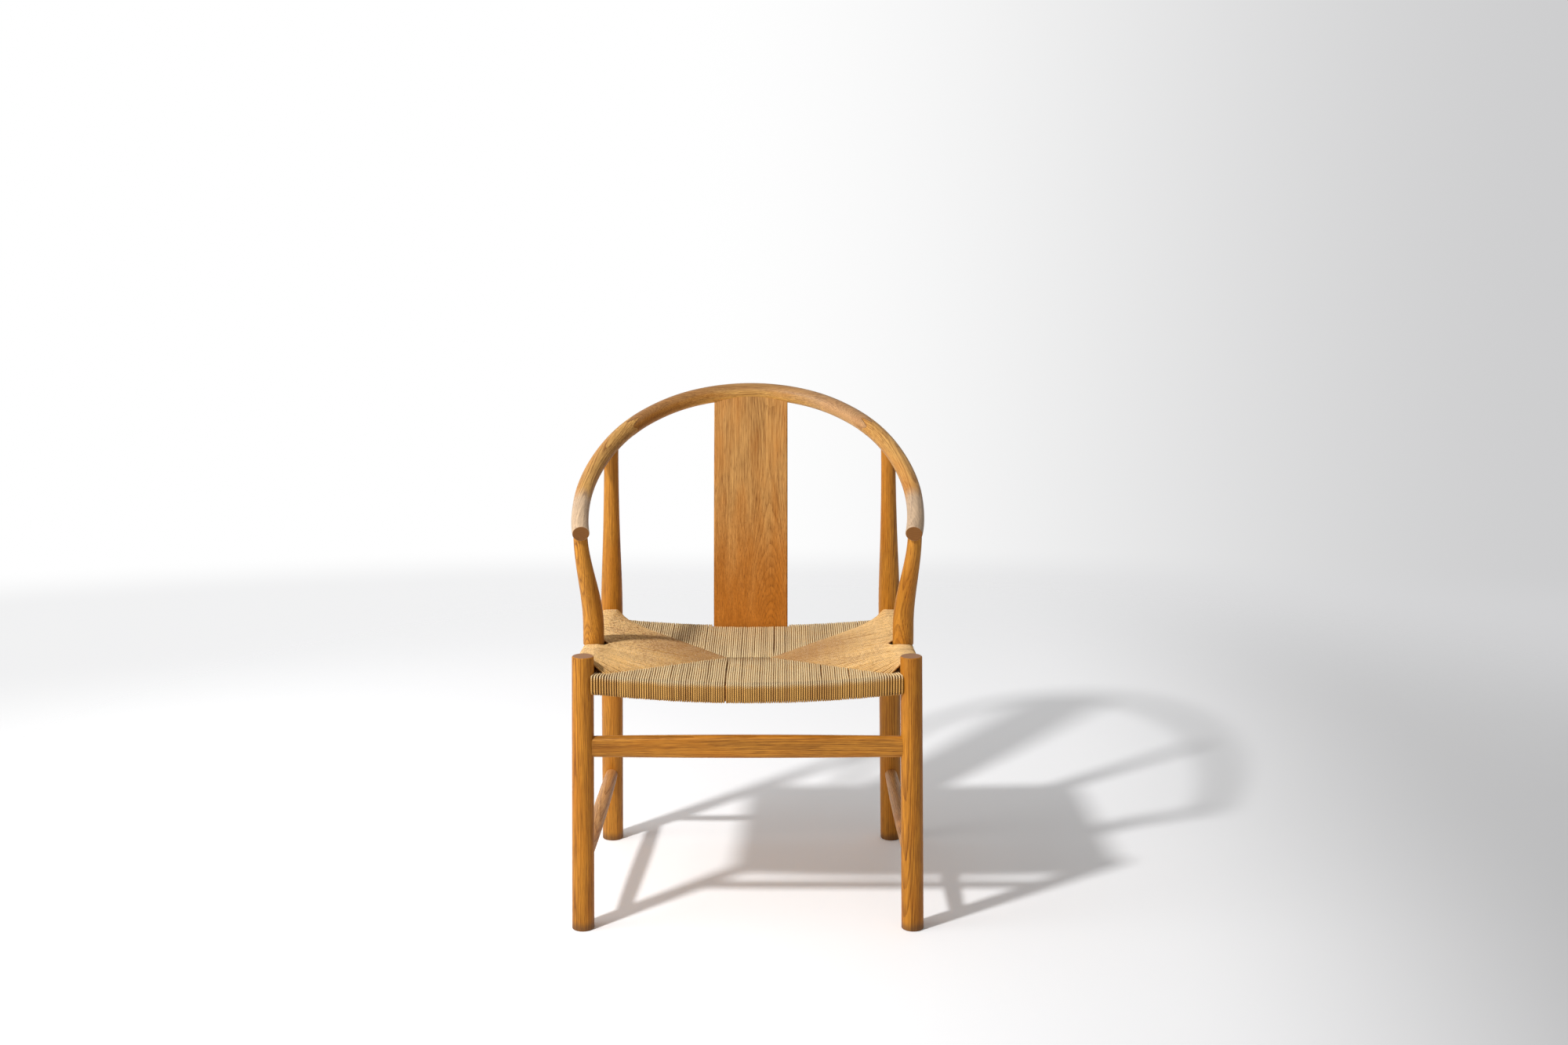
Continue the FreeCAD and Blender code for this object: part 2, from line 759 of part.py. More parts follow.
def main():
    os.makedirs("parts", exist_ok=True)
    chair_back = crest_setback + crest_diameter / 2
    chair_front = -front_rail_bow - front_rail_depth / 2 - cord_diameter
    chair_front = min(chair_front, -front_leg_foot_diameter / 2)
    to_origin = Vector(0, -(chair_back + chair_front) / 2, 0)
    for name, shape in sorted(chair().items()):
        shape = shape.copy()
        shape.translate(to_origin)
        shape.exportStep("parts/" + name + ".step")
        box = shape.BoundBox
        print(name, "solids", len(shape.Solids), "volume", round(shape.Volume), "valid", shape.isValid(),
              "x", round(box.XMin, 1), round(box.XMax, 1), "y", round(box.YMin, 1), round(box.YMax, 1),
              "z", round(box.ZMin, 1), round(box.ZMax, 1))


main()
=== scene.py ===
# %% [markdown]
# # Horseshoe back armchair
# The chair is solid oak: turned legs, a bow for back and arms, a curved splat, and a seat woven
# from twisted paper cord. The wooden pieces come from the construction model and stay as they
# are, so this lesson gives them their wood, and it weaves the seat cord by cord.

# %% Load the chair
import math
import random

import bpy
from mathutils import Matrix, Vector, noise


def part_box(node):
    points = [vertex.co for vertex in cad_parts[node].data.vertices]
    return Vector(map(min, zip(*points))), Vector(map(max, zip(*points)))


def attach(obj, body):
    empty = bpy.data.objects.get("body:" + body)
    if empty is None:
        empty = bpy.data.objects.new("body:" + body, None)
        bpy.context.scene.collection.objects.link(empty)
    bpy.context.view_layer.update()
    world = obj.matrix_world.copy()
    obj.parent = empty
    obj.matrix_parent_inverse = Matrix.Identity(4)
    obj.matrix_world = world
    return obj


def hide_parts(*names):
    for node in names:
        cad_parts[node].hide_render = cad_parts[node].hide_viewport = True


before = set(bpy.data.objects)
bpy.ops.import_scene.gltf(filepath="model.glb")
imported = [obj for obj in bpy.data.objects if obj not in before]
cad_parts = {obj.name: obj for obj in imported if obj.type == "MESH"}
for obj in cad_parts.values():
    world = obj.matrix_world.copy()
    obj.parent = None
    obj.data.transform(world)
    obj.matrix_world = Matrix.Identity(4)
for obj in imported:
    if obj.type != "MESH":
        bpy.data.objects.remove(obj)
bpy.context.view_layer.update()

bpy.ops.object.select_all(action="DESELECT")

# %% [markdown]
# The camera stands a little above the chair and looks slightly down, as the photographer did.
# It could be aimed by a constraint, but a fixed place and tilt are plainer and never drift.
# A normal lens of 50 mm on a 36 mm wide sensor gives the same perspective.

# %% Camera
CAMERA_PLACE = (0.0567, -3.477, 1.2776)
CAMERA_TILT = math.radians(79.015)
LENS = 50
SENSOR_WIDTH = 36

bpy.ops.object.camera_add(location=CAMERA_PLACE, rotation=(CAMERA_TILT, 0, 0))
camera = bpy.context.object
camera.data.lens = LENS
camera.data.sensor_width = SENSOR_WIDTH
bpy.context.scene.camera = camera
bpy.context.scene.view_settings.view_transform = "Standard"
print("camera", tuple(round(v, 3) for v in camera.location))

# %% [markdown]
# Materials are made of nodes. They could be wired by hand in the editor, but a script that names
# each step is easier to read and to change. These helpers add a node, fill its sockets and do
# sums, so that each finish below reads as a recipe.


# %% Nodes and sums
def add(tree, kind, inputs=None, **options):
    """A shader node with its options set and its inputs filled by values or other outputs."""
    made = tree.nodes.new("ShaderNode" + kind)
    for option, value in options.items():
        setattr(made, option, value)
    for place, value in (inputs or {}).items():
        if isinstance(value, bpy.types.NodeSocket):
            tree.links.new(value, made.inputs[place])
        else:
            made.inputs[place].default_value = value
    return made


def maths(tree, operation, *values):
    return add(tree, "Math", dict(enumerate(values)), operation=operation).outputs[0]


def times(tree, first, second):
    return maths(tree, "MULTIPLY", first, second)


def vector_maths(tree, operation, *values, result="Vector"):
    made = add(tree, "VectorMath", dict(enumerate(values)), operation=operation)
    return made.outputs[result]


def dot(tree, first, second):
    return vector_maths(tree, "DOT_PRODUCT", first, second, result="Value")


def distance(tree, first, second):
    return vector_maths(tree, "DISTANCE", first, second, result="Value")


def weighted_sum(tree, start, *terms):
    """Adds each (value, weight) to start."""
    total = start
    for value, weight in terms:
        total = maths(tree, "MULTIPLY_ADD", value, weight, total)
    return total


print("sums ready")

# %% [markdown]
# Three more helpers cover most looks: a soft step makes a mask, a mix lays one colour over
# another through that mask, and noise breaks up whatever would look too even. A colour is
# written as a picture shows it, from 0 to 255, and turned into light for the shader.


# %% Masks, mixes and noise
def srgb(red, green, blue):
    def light(value):
        share = value / 255
        return share / 12.92 if share <= 0.04045 else ((share + 0.055) / 1.055) ** 2.4
    return (light(red), light(green), light(blue), 1)


def smooth_step(tree, value, low, high):
    """Runs from 0 at low to 1 at high."""
    inputs = {"Value": value, "From Min": low, "From Max": high}
    return add(tree, "MapRange", inputs, interpolation_type="SMOOTHSTEP").outputs[0]


def colour_mix(tree, share, first, second):
    return add(tree, "Mix", {0: share, 6: first, 7: second}, data_type="RGBA").outputs[2]


def cloud(tree, place, scale, detail, seed):
    """Noise around 0, from about -0.5 to 0.5."""
    inputs = {"Vector": place, "W": seed, "Scale": scale, "Detail": detail}
    value = add(tree, "TexNoise", inputs, noise_dimensions="4D").outputs[0]
    return maths(tree, "SUBTRACT", value, 0.5)


def new_material(name):
    material = bpy.data.materials.new(name)
    material.use_nodes = True
    material.node_tree.nodes.clear()
    return material


print("white is", srgb(255, 255, 255))

# %% [markdown]
# One small lamp stands high on the left in front, and its clear shadows fall to the right. A
# wide, weak lamp on the left softens the dark sides. A sun would throw the same shadows, but
# a lamp at a real distance also lets the floor grow dimmer away from it, as in a studio.

# %% Lamps
LAMP_TARGET = Vector((0, 0, 0.4))
KEY_LAMP_PLACE = Vector((-1.52, -1.69, 2.53))
KEY_LAMP_WIDTH = 0.26
KEY_LAMP_POWER = 77
SIDE_LAMP_PLACE = Vector((-2.6, -0.9, 1.1))
SIDE_LAMP_WIDTH = 1.8
SIDE_LAMP_POWER = 20


def add_lamp(name, place, width, power):
    aim = (LAMP_TARGET - place).to_track_quat("-Z", "Y").to_euler()
    bpy.ops.object.light_add(type="AREA", location=place, rotation=aim)
    lamp = bpy.context.object
    lamp.name = name
    lamp.data.shape = "DISK"
    lamp.data.size = width
    lamp.data.energy = power


add_lamp("key_lamp", KEY_LAMP_PLACE, KEY_LAMP_WIDTH, KEY_LAMP_POWER)
add_lamp("side_lamp", SIDE_LAMP_PLACE, SIDE_LAMP_WIDTH, SIDE_LAMP_POWER)
print("lamps", len(bpy.data.lights))

# %% [markdown]
# The room is white, a little grey to the right and in a band where the floor meets the wall.
# A wall could be modelled, but the world does the same without catching shadows. What the
# camera sees has a strength of 1, so white is white, while the light that the room throws on
# the chair is weaker and comes mostly from the left.

# %% White surround
LEFT_LIGHT = 0.62
RIGHT_LIGHT = 0.12
ROOM_WHITE = srgb(255, 255, 255)
ROOM_GREY = srgb(205, 205, 206)
BAND_GREY = srgb(214, 214, 216)
BAND_SHARE = 0.35
GREY_START, GREY_STOP = -0.05, 0.36
BAND_TOP = (-0.2, -0.216)
BAND_BOTTOM = (-0.24, -0.275)


def seen_directly(tree):
    """1 for rays from the camera, a reflection or glass, and 0 for rays that carry light."""
    ray = add(tree, "LightPath").outputs
    direct = maths(tree, "MAXIMUM", ray["Is Camera Ray"], ray["Is Glossy Ray"])
    return maths(tree, "MAXIMUM", direct, ray["Is Transmission Ray"])


world = bpy.context.scene.world or bpy.data.worlds.new("surround")
bpy.context.scene.world = world
world.use_nodes = True
tree = world.node_tree
tree.nodes.clear()
direction = add(tree, "SeparateXYZ", {0: add(tree, "TexCoord").outputs["Generated"]}).outputs
towards_right = smooth_step(tree, direction[0], GREY_START, GREY_STOP)
surround = colour_mix(tree, towards_right, ROOM_WHITE, ROOM_GREY)
below_top = smooth_step(tree, direction[2], *BAND_TOP)
below_bottom = smooth_step(tree, direction[2], *BAND_BOTTOM)
band = times(tree, maths(tree, "SUBTRACT", below_top, below_bottom), BAND_SHARE)
surround = colour_mix(tree, band, surround, BAND_GREY)
spread = {"Value": direction[0], "From Min": -1.0, "To Min": LEFT_LIGHT, "To Max": RIGHT_LIGHT}
strength = add(tree, "MapRange", spread).outputs[0]
lit = add(tree, "Background", {"Color": ROOM_WHITE, "Strength": strength})
shown = add(tree, "Background", {"Color": surround, "Strength": 1.0})
both = add(tree, "MixShader", {0: seen_directly(tree), 1: lit.outputs[0], 2: shown.outputs[0]})
add(tree, "OutputWorld", {"Surface": both.outputs[0]})
print("surround from", LEFT_LIGHT, "to", RIGHT_LIGHT)

# %% [markdown]
# The floor is pale paper. Further out it turns clear for the camera, so that it melts into the
# surround with no edge. The real floor gets more light behind the chair and less at the right
# than two lamps give, and a brighter lamp would bleach the wood. So the paper itself is a
# little lighter or darker there, for the camera alone.

# %% Floor
FLOOR_SIZE = 40
FLOOR_COLOUR = srgb(251, 251, 252)
FADE_CENTRE = (0.35, 0.25, 0)
FADE_START, FADE_STOP = 1.05, 2.3
LEAST_FADE = 0.02
FLOOR_LIFT = 1.17
LIFT_PER_METRE = 0.17
RIGHT_FALL = 0.35
FALL_START, FALL_STOP = 0.6, 1.4

bpy.ops.mesh.primitive_plane_add(size=FLOOR_SIZE)
floor = bpy.context.object
floor.name = "floor"
paper = new_material("floor_paper")
tree = paper.node_tree
place = add(tree, "TexCoord").outputs["Object"]
ground = add(tree, "SeparateXYZ", {0: place}).outputs
far_right = smooth_step(tree, ground[0], FALL_START, FALL_STOP)
lift = weighted_sum(tree, FLOOR_LIFT, (ground[1], LIFT_PER_METRE), (far_right, -RIGHT_FALL))
lifted = add(tree, "VectorMath", {0: FLOOR_COLOUR[:3], "Scale": lift}, operation="SCALE").outputs[0]
shade = colour_mix(tree, seen_directly(tree), FLOOR_COLOUR, lifted)
fade = smooth_step(tree, distance(tree, place, FADE_CENTRE), FADE_START, FADE_STOP)
fade = times(tree, maths(tree, "MAXIMUM", fade, LEAST_FADE), seen_directly(tree))
matt = add(tree, "BsdfDiffuse", {"Color": shade})
clear = add(tree, "BsdfTransparent")
both = add(tree, "MixShader", {0: fade, 1: matt.outputs[0], 2: clear.outputs[0]})
add(tree, "OutputMaterial", {"Surface": both.outputs[0]})
floor.data.materials.append(paper)
print("floor", FLOOR_SIZE, "m")

# %% [markdown]
# Oak grows in rings round the heart of the log. A board shows straight lines where it cuts the
# rings square, and pointed arches where it cuts them flat. A flat picture of wood could be
# wrapped round each piece, but then end grain and edges never fit. So the wood is a solid
# pattern: the distance from the heart line gives the ring, and slow noise makes it wander.

# %% Rings of the oak
RING_WIDTH = 0.0021
# A pattern is how fine it is across the grain, what share of that it keeps along the grain,
# and its detail.
WIDE_WAVE = (13, 0.22, 2)
SMALL_WAVE = (75, 0.1, 2)
WIDE_WAVE_REACH = 0.014
SMALL_WAVE_REACH = 0.0022


def grain_noise(tree, log, pattern, seed):
    """Noise drawn out along the grain."""
    scale, share_along, detail = pattern
    drawn_out = vector_maths(tree, "MULTIPLY", log, (1, 1, share_along))
    return cloud(tree, drawn_out, scale, detail, seed)


def rings(tree, log, seed):
    """Distance into the current ring from 0 to 1, and a random tone for each ring."""
    across = vector_maths(tree, "MULTIPLY", log, (1, 1, 0))
    from_heart = vector_maths(tree, "LENGTH", across, result="Value")
    from_heart = weighted_sum(tree, from_heart, (grain_noise(tree, log, WIDE_WAVE, seed), WIDE_WAVE_REACH),
                              (grain_noise(tree, log, SMALL_WAVE, seed), SMALL_WAVE_REACH))
    count = maths(tree, "DIVIDE", from_heart, RING_WIDTH)
    tone = add(tree, "TexWhiteNoise", {"W": maths(tree, "FLOOR", count)}, noise_dimensions="1D")
    return maths(tree, "FRACT", count), tone.outputs[0]


print("oak rings", RING_WIDTH * 1000, "mm")

# %% [markdown]
# Each ring starts with a band of open pores and ends in dense wood. Fibres, much finer than the
# rings, run through both. Sunlight, hands and dirt change the tone of whole regions, so a
# finish can name patches, and even there the fibres still show.

# %% Colour of the oak
BROAD = (55, 0.12, 3)
FIBRE = (420, 0.03, 4)
FINE_FIBRE = (1300, 0.035, 2)
WARMTH = (38, 0.2, 2)
PORES = (1900, 0.025, 1)
MIDDLE_TONE = 0.46
WARM_COLOUR = srgb(186, 108, 16)
WARM_SHARE = 0.4
PORE_COLOUR = srgb(84, 42, 10)
END_GRAIN_COLOUR = srgb(134, 84, 32)
END_GRAIN_SHARE = 0.95
END_RING_SHARE = 0.4
RAGGEDNESS = 0.7
PATCH_DARK, PATCH_LIGHT = 0.6, 1.2
# A layer fades in between two levels of what drives it.
EARLY_WOOD = (0.05, 0.6)
WARM_WOOD = (-0.1, 0.25)
OPEN_PORES = (0.07, 0.2)
SQUARE_CUT = (0.78, 0.93)


def toned(colour, share):
    return tuple(value * share for value in colour[:3]) + (1,)


def patched(tree, colour, patch, place, broad, lightness):
    """Lays a patch over the wood: (direction, start, stop, colour, share), with a ragged edge."""
    direction, start, stop, patch_colour, share = patch
    level = dot(tree, place, direction)
    ragged = maths(tree, "MULTIPLY_ADD", broad, abs(stop - start) * RAGGEDNESS, level)
    mask = times(tree, smooth_step(tree, ragged, start, stop), share)
    tones = toned(patch_colour, PATCH_DARK), toned(patch_colour, PATCH_LIGHT)
    grained = colour_mix(tree, lightness, *tones)
    return colour_mix(tree, mask, colour, grained)


def with_end_grain(tree, colour, end_colour, grain, early):
    """The colour with end grain where the surface cuts the grain square, and where that is."""
    normal = add(tree, "NewGeometry").outputs["Normal"]
    end = smooth_step(tree, maths(tree, "ABSOLUTE", dot(tree, normal, tuple(grain))), *SQUARE_CUT)
    end_rings = colour_mix(tree, times(tree, early, END_RING_SHARE), end_colour, PORE_COLOUR)
    return colour_mix(tree, times(tree, end, END_GRAIN_SHARE), colour, end_rings), end


print("layers of the oak", len((BROAD, FIBRE, FINE_FIBRE, WARMTH, PORES)))

# %% [markdown]
# Every finish ends the same way: a height becomes a bump, and colour, roughness and bump go to
# one shader. The relief could be modelled, but it is far finer than a mesh can hold, so a bump
# that only tilts the light is enough.


# %% Surface of a finish
def surface(tree, colour, roughness, height, bump, shine):
    """Wires the shader. bump is a strength and a depth, and shine sets the sockets for gloss."""
    strength, depth = bump
    inputs = {"Height": height, "Strength": strength, "Distance": depth}
    normal = add(tree, "Bump", inputs).outputs[0]
    inputs = {"Base Color": colour, "Roughness": roughness, "Normal": normal} | shine
    shader = add(tree, "BsdfPrincipled", inputs)
    add(tree, "OutputMaterial", {"Surface": shader.outputs[0]})


print("surface ready")

# %% [markdown]
# The recipe puts the layers together. Rings and fibres set how light the wood is, a warm cloud
# and the patches tint it, and pores darken it. End grain and glue lie over all, and the same
# layers drive roughness and bump. The number beside a layer is its weight.

# %% Oak
GRAIN_UP = Vector((0, 0, 1))
GLUE_COLOUR = srgb(74, 40, 14)
FIGURE_BALANCE = 0.4
RING_TONE_SHARE = 0.5
OAK_BUMP = (0.35, 0.0003)
OAK_SHINE = {"Specular IOR Level": 0.2}


def oak(name, heart, grain, seed, tones, patches=(), figure=0.4, contrast=1.0, glue=None,
        end_colour=END_GRAIN_COLOUR):
    """Oak whose heart line runs through heart along grain. tones are its light and its dark
    colour, figure is how dark the rings are, contrast how much the fibres differ, and glue
    draws the line of a finger joint."""
    material = new_material(name)
    tree = material.node_tree
    place = add(tree, "TexCoord").outputs["Object"]
    grain = Vector(grain).normalized()
    turn = grain.rotation_difference(GRAIN_UP)
    inputs = {"Vector": place, "Location": -(turn @ Vector(heart)), "Rotation": turn.to_euler()}
    log = add(tree, "Mapping", inputs).outputs[0]

    ring, tone = rings(tree, log, seed)
    early = maths(tree, "SUBTRACT", 1.0, smooth_step(tree, ring, *EARLY_WOOD))
    broad = grain_noise(tree, log, BROAD, seed + 1)
    fibre = grain_noise(tree, log, FIBRE, seed + 2)
    fine = grain_noise(tree, log, FINE_FIBRE, seed + 3)
    streaks = weighted_sum(tree, 0.0, (fibre, 1.3), (fine, 1.2), (broad, 0.7))
    middle = MIDDLE_TONE + FIGURE_BALANCE * figure
    streaks = maths(tree, "MULTIPLY_ADD", streaks, contrast, middle)
    lightness = weighted_sum(tree, streaks, (early, -figure), (tone, RING_TONE_SHARE * figure))

    light, dark = tones
    colour = colour_mix(tree, lightness, dark, light)
    warmth = smooth_step(tree, grain_noise(tree, log, WARMTH, seed + 5), *WARM_WOOD)
    colour = colour_mix(tree, times(tree, warmth, WARM_SHARE), colour, WARM_COLOUR)
    for patch in patches:
        colour = patched(tree, colour, patch, place, broad, lightness)
    pores = smooth_step(tree, grain_noise(tree, log, PORES, seed + 4), *OPEN_PORES)
    pores = times(tree, pores, weighted_sum(tree, 0.25, (early, 0.65)))
    colour = colour_mix(tree, pores, colour, PORE_COLOUR)
    colour, end = with_end_grain(tree, colour, end_colour, grain, early)
    if glue:
        colour = colour_mix(tree, glue(tree, place), colour, GLUE_COLOUR)

    roughness = weighted_sum(tree, 0.46, (pores, 0.25), (fibre, 0.25), (end, 0.2))
    height = weighted_sum(tree, 0.0, (pores, -1.0), (fibre, 0.6), (early, -0.15))
    surface(tree, colour, roughness, height, OAK_BUMP, OAK_SHINE)
    return material


print("oak bump", OAK_BUMP[1] * 1000, "mm deep")

# %% [markdown]
# Crest and arms are sawn from straight boards and meet in finger joints, whose glue shows as a
# thin dark zigzag. It could be a separate sliver of mesh, but a line in the colour can't come
# loose from the surface. The distance along the bow tells how far up a finger the line has
# come, and the line shows only on the faces that cut across the fingers.

# %% Glue line of the finger joints
BOW_TILT = math.radians(22.2)
JOINT_TURN = math.radians(57.0)
JOINT_PLACE = Vector((0.1976, 0.1353, 0.7408))
JOINT_HALF_LENGTH = 0.011
FINGERS = 3
FINGER_PITCH = 0.0116
FINGER_TIP_SHARE = 0.138
PAST_TIPS_SHARE = 1.03
GLUE_WIDTH = 0.0002
GLUE_SHARE = 2 * GLUE_WIDTH / FINGER_PITCH
GLUE_EDGE_SHARE = 2.2 * GLUE_SHARE
FACING_UP = (0.3, 0.6)
ABOVE_BOW = Vector((0, -math.sin(BOW_TILT), math.cos(BOW_TILT)))


def glue_line(side):
    """Returns the function that draws the glue line of the joint on that side of the chair."""
    fall = math.sin(JOINT_TURN)
    along = Vector((math.cos(JOINT_TURN), -fall * math.cos(BOW_TILT), -fall * math.sin(BOW_TILT)))
    outwards = along.cross(ABOVE_BOW)
    flip = Vector((side, 1, 1))

    def draw(tree, place):
        offset = vector_maths(tree, "SUBTRACT", place, JOINT_PLACE * flip)
        run = dot(tree, offset, along * flip)
        rise = dot(tree, offset, outwards * flip)
        count = maths(tree, "DIVIDE", maths(tree, "ADD", rise, FINGERS / 2 * FINGER_PITCH), FINGER_PITCH)
        peak = maths(tree, "PINGPONG", times(tree, count, 2.0), 1.0)
        ends = {"Value": run, "From Min": -JOINT_HALF_LENGTH, "From Max": JOINT_HALF_LENGTH,
                "To Min": FINGER_TIP_SHARE, "To Max": 1 - FINGER_TIP_SHARE}
        level = add(tree, "MapRange", ends).outputs[0]
        gap = maths(tree, "ABSOLUTE", maths(tree, "SUBTRACT", peak, level))
        line = maths(tree, "SUBTRACT", 1.0, smooth_step(tree, gap, GLUE_SHARE, GLUE_EDGE_SHARE))
        reach = JOINT_HALF_LENGTH * PAST_TIPS_SHARE
        inside = maths(tree, "LESS_THAN", maths(tree, "ABSOLUTE", run), reach)
        facing = dot(tree, add(tree, "NewGeometry").outputs["Normal"], ABOVE_BOW)
        on_top = smooth_step(tree, maths(tree, "ABSOLUTE", facing), *FACING_UP)
        return times(tree, line, times(tree, inside, on_top))

    return draw


def both_glue_lines(tree, place):
    return maths(tree, "MAXIMUM", glue_line(-1)(tree, place), glue_line(1)(tree, place))


print("finger joints at", [round(v, 4) for v in JOINT_PLACE])

# %% [markdown]
# Legs and posts are the deepest in tone. Their feet are scuffed and dirty, and the tops of the
# front legs show end grain with a greyish tone. One material could serve all of them, but then
# all would show the same rings. So every piece is cut from its own place in the log.

# %% Legs and posts
LEG_DARK = srgb(98, 46, 2)
LEG_TONES = (srgb(203, 134, 40), LEG_DARK)
POST_TONES = (srgb(228, 156, 56), LEG_DARK)
LEG_TOP_COLOUR = srgb(156, 118, 90)
FOOT_DIRT = srgb(98, 70, 44)
UPWARDS = (0, 0, 1)
FLOOR_SCUFF = (UPWARDS, 0.018, 0.003, FOOT_DIRT, 0.7)
REAR_LEG_RUN = Vector((-0.0169, -0.1112, 0.7177))
POST_RUN = Vector((0.0146, -0.0393, 0.198))


def centre_of(node):
    low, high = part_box(node)
    return (low + high) / 2


def finish_node(node, material):
    """Puts a material on a piece of the construction model."""
    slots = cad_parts[node].data.materials
    slots.clear()
    slots.append(material)


def finish_in_oak(node, offset, grain, seed, **look):
    """Oak for one piece, whose heart line runs along grain at an offset from its centre."""
    heart = centre_of(node) + Vector(offset)
    finish_node(node, oak("oak_" + node, heart, grain, seed, **look))


def finish_pair(kind, run, offset, tilt, seed, glued=False, **look):
    """The left and the right piece of a pair. run goes from end to end of the right one, and
    tilt leans the heart line sideways."""
    for side, name in ((-1, "left"), (1, "right")):
        grain = Vector((run.x * side + tilt * run.length, run.y, run.z))
        glue = glue_line(side) if glued else None
        finish_in_oak(kind + "_" + name, Vector(offset) * side, grain, seed + side, glue=glue, **look)


finish_pair("front_leg", GRAIN_UP, offset=(0.03, 0.034, 0), tilt=0.006, seed=3.0, tones=LEG_TONES,
            patches=(FLOOR_SCUFF,), figure=0.35, contrast=0.9, end_colour=LEG_TOP_COLOUR)
finish_pair("rear_leg", REAR_LEG_RUN, offset=(-0.04, 0.02, 0), tilt=0.008, seed=7.0, tones=POST_TONES,
            patches=(FLOOR_SCUFF,), figure=0.2, contrast=0.6)
finish_pair("arm_post", POST_RUN, offset=(0.035, 0.05, 0), tilt=0.01, seed=11.0, tones=POST_TONES,
            figure=0.26, contrast=0.6)
print("legs and posts finished, feet dirty up to", FLOOR_SCUFF[1] * 1000, "mm")

# %% [markdown]
# The bow is paler than the legs. The ends of the arms are worn almost white, and the crest is
# golden on its front, darker at its left shoulder, dull at its right one and along its ridge.
# These could be painted on, but a patch that fades in towards a place needs no picture and
# lets the grain show through.

# %% Bow
BOW_TONES = (srgb(226, 174, 98), srgb(118, 68, 18))
WORN_PALE = srgb(196, 172, 146)
ARM_RUN = Vector((0.064, -0.307, -0.126))
CREST_RUN = (1, 0.02, 0.03)
SIDEWAYS = (1, 0, 0)
BACKWARDS = (0, 1, 0)
BOW_LEVEL = JOINT_PLACE.dot(ABOVE_BOW)
ARM_WEAR = (BACKWARDS, -0.06, -0.1, WORN_PALE, 0.78)
CREST_PATCHES = (
    (ABOVE_BOW, BOW_LEVEL + 0.004, BOW_LEVEL - 0.006, srgb(248, 190, 98), 0.75),
    (SIDEWAYS, -0.02, -0.15, srgb(158, 96, 24), 0.7),
    (SIDEWAYS, 0.03, 0.13, srgb(196, 156, 120), 0.5),
    (ABOVE_BOW, BOW_LEVEL + 0.006, BOW_LEVEL + 0.012, srgb(150, 112, 76), 0.5),
)

finish_pair("arm", ARM_RUN, offset=(0.004, 0.016, -0.042), tilt=0.03, seed=23.0, glued=True,
            tones=BOW_TONES, patches=(ARM_WEAR,), figure=0.3, contrast=0.8)
finish_in_oak("crest_rail", (0, 0.03, -0.05), CREST_RUN, 31.0, tones=BOW_TONES,
              patches=CREST_PATCHES, figure=0.24, contrast=0.9, glue=both_glue_lines)
print("bow finished, patches on the crest", len(CREST_PATCHES))

# %% [markdown]
# The splat is lighter at the top and deep orange near the seat. Its heart line leans a little
# against the board, so the rings run out into pointed arches. The side stretchers have faded,
# and the rails under the cord keep plain wood.

# %% Splat, stretchers and rails
SPLAT_TONES = (srgb(214, 160, 90), srgb(118, 72, 24))
DEEP_ORANGE = srgb(182, 103, 4)
SPLAT_DEPTH = (UPWARDS, 0.68, 0.41, DEEP_ORANGE, 0.8)
SPLAT_GRAIN = Vector((0, 0.13, 0.39))
STRETCHER_TONES = (srgb(205, 138, 50), srgb(98, 52, 10))
SIDE_STRETCHER_TONES = (srgb(216, 166, 108), srgb(146, 98, 54))
SIDE_RUN = Vector((-0.017, 0.363, 0.0045))
CROSS_RUN = (1, 0.004, 0.012)
CROSS_PIECES = ("front_stretcher", "rear_stretcher", "front_seat_rail", "rear_seat_rail")

finish_in_oak("back_splat", (0.034, 0.026, 0), SPLAT_GRAIN, 37.0, tones=SPLAT_TONES,
              patches=(SPLAT_DEPTH,), figure=0.2, contrast=0.9)
finish_pair("side_stretcher", SIDE_RUN, offset=(0.02, 0, 0.03), tilt=0.01, seed=15.0,
            tones=SIDE_STRETCHER_TONES)
finish_pair("side_seat_rail", SIDE_RUN, offset=(0.03, 0, 0.02), tilt=0.0, seed=19.0, tones=LEG_TONES)
for number, node in enumerate(CROSS_PIECES):
    offset = (0, 0.02 + 0.01 * number, -0.03)
    finish_in_oak(node, offset, CROSS_RUN, 41.0 + number, tones=STRETCHER_TONES, figure=0.32)
print("oak on", sum(name.startswith("oak_") for name in bpy.data.materials.keys()), "pieces")

# %% [markdown]
# The seat is woven from paper cord. Each cord runs over a rail, down through the crease where
# it meets the cords from the side, and back round the rail from below. A bumpy sheet could
# stand for it, but real cords give the true outline, the gaps and the shadows. The rails'
# centre lines and the creases are known, so each path is worked out from where it crosses.
# As a chair maker notes them, all lengths here are millimetres, and y counts from the line of
# the front legs.

# %% Rails of the seat
MM = 0.001
LEG_LINE = centre_of("front_leg_right").y
FRONT_RAIL_REACH, FRONT_RAIL_HEIGHT = 251.9, 399.0
FRONT_RAIL_BOW, FRONT_RAIL_DIP = 6.0, 14.5
REAR_RAIL_REACH, REAR_RAIL_HEIGHT = 236.0, 394.0
REAR_RAIL_SETBACK, REAR_RAIL_DIP = 365.0, 12.0
SIDE_RAIL_FRONT, SIDE_RAIL_REAR = (252.2, 412.5), (235.2, 417.0)
SIDE_RAIL_LENGTH = 363.0


def lerp(first, last, share):
    return first + (last - first) * share


def front_rail(x):
    """Centre of the front rail at x, as (y, z)."""
    bend = 1 - (x / FRONT_RAIL_REACH) ** 2
    return -FRONT_RAIL_BOW * bend, FRONT_RAIL_HEIGHT - FRONT_RAIL_DIP * bend


def rear_rail(x):
    bend = 1 - (x / REAR_RAIL_REACH) ** 2
    return REAR_RAIL_SETBACK, REAR_RAIL_HEIGHT - REAR_RAIL_DIP * bend


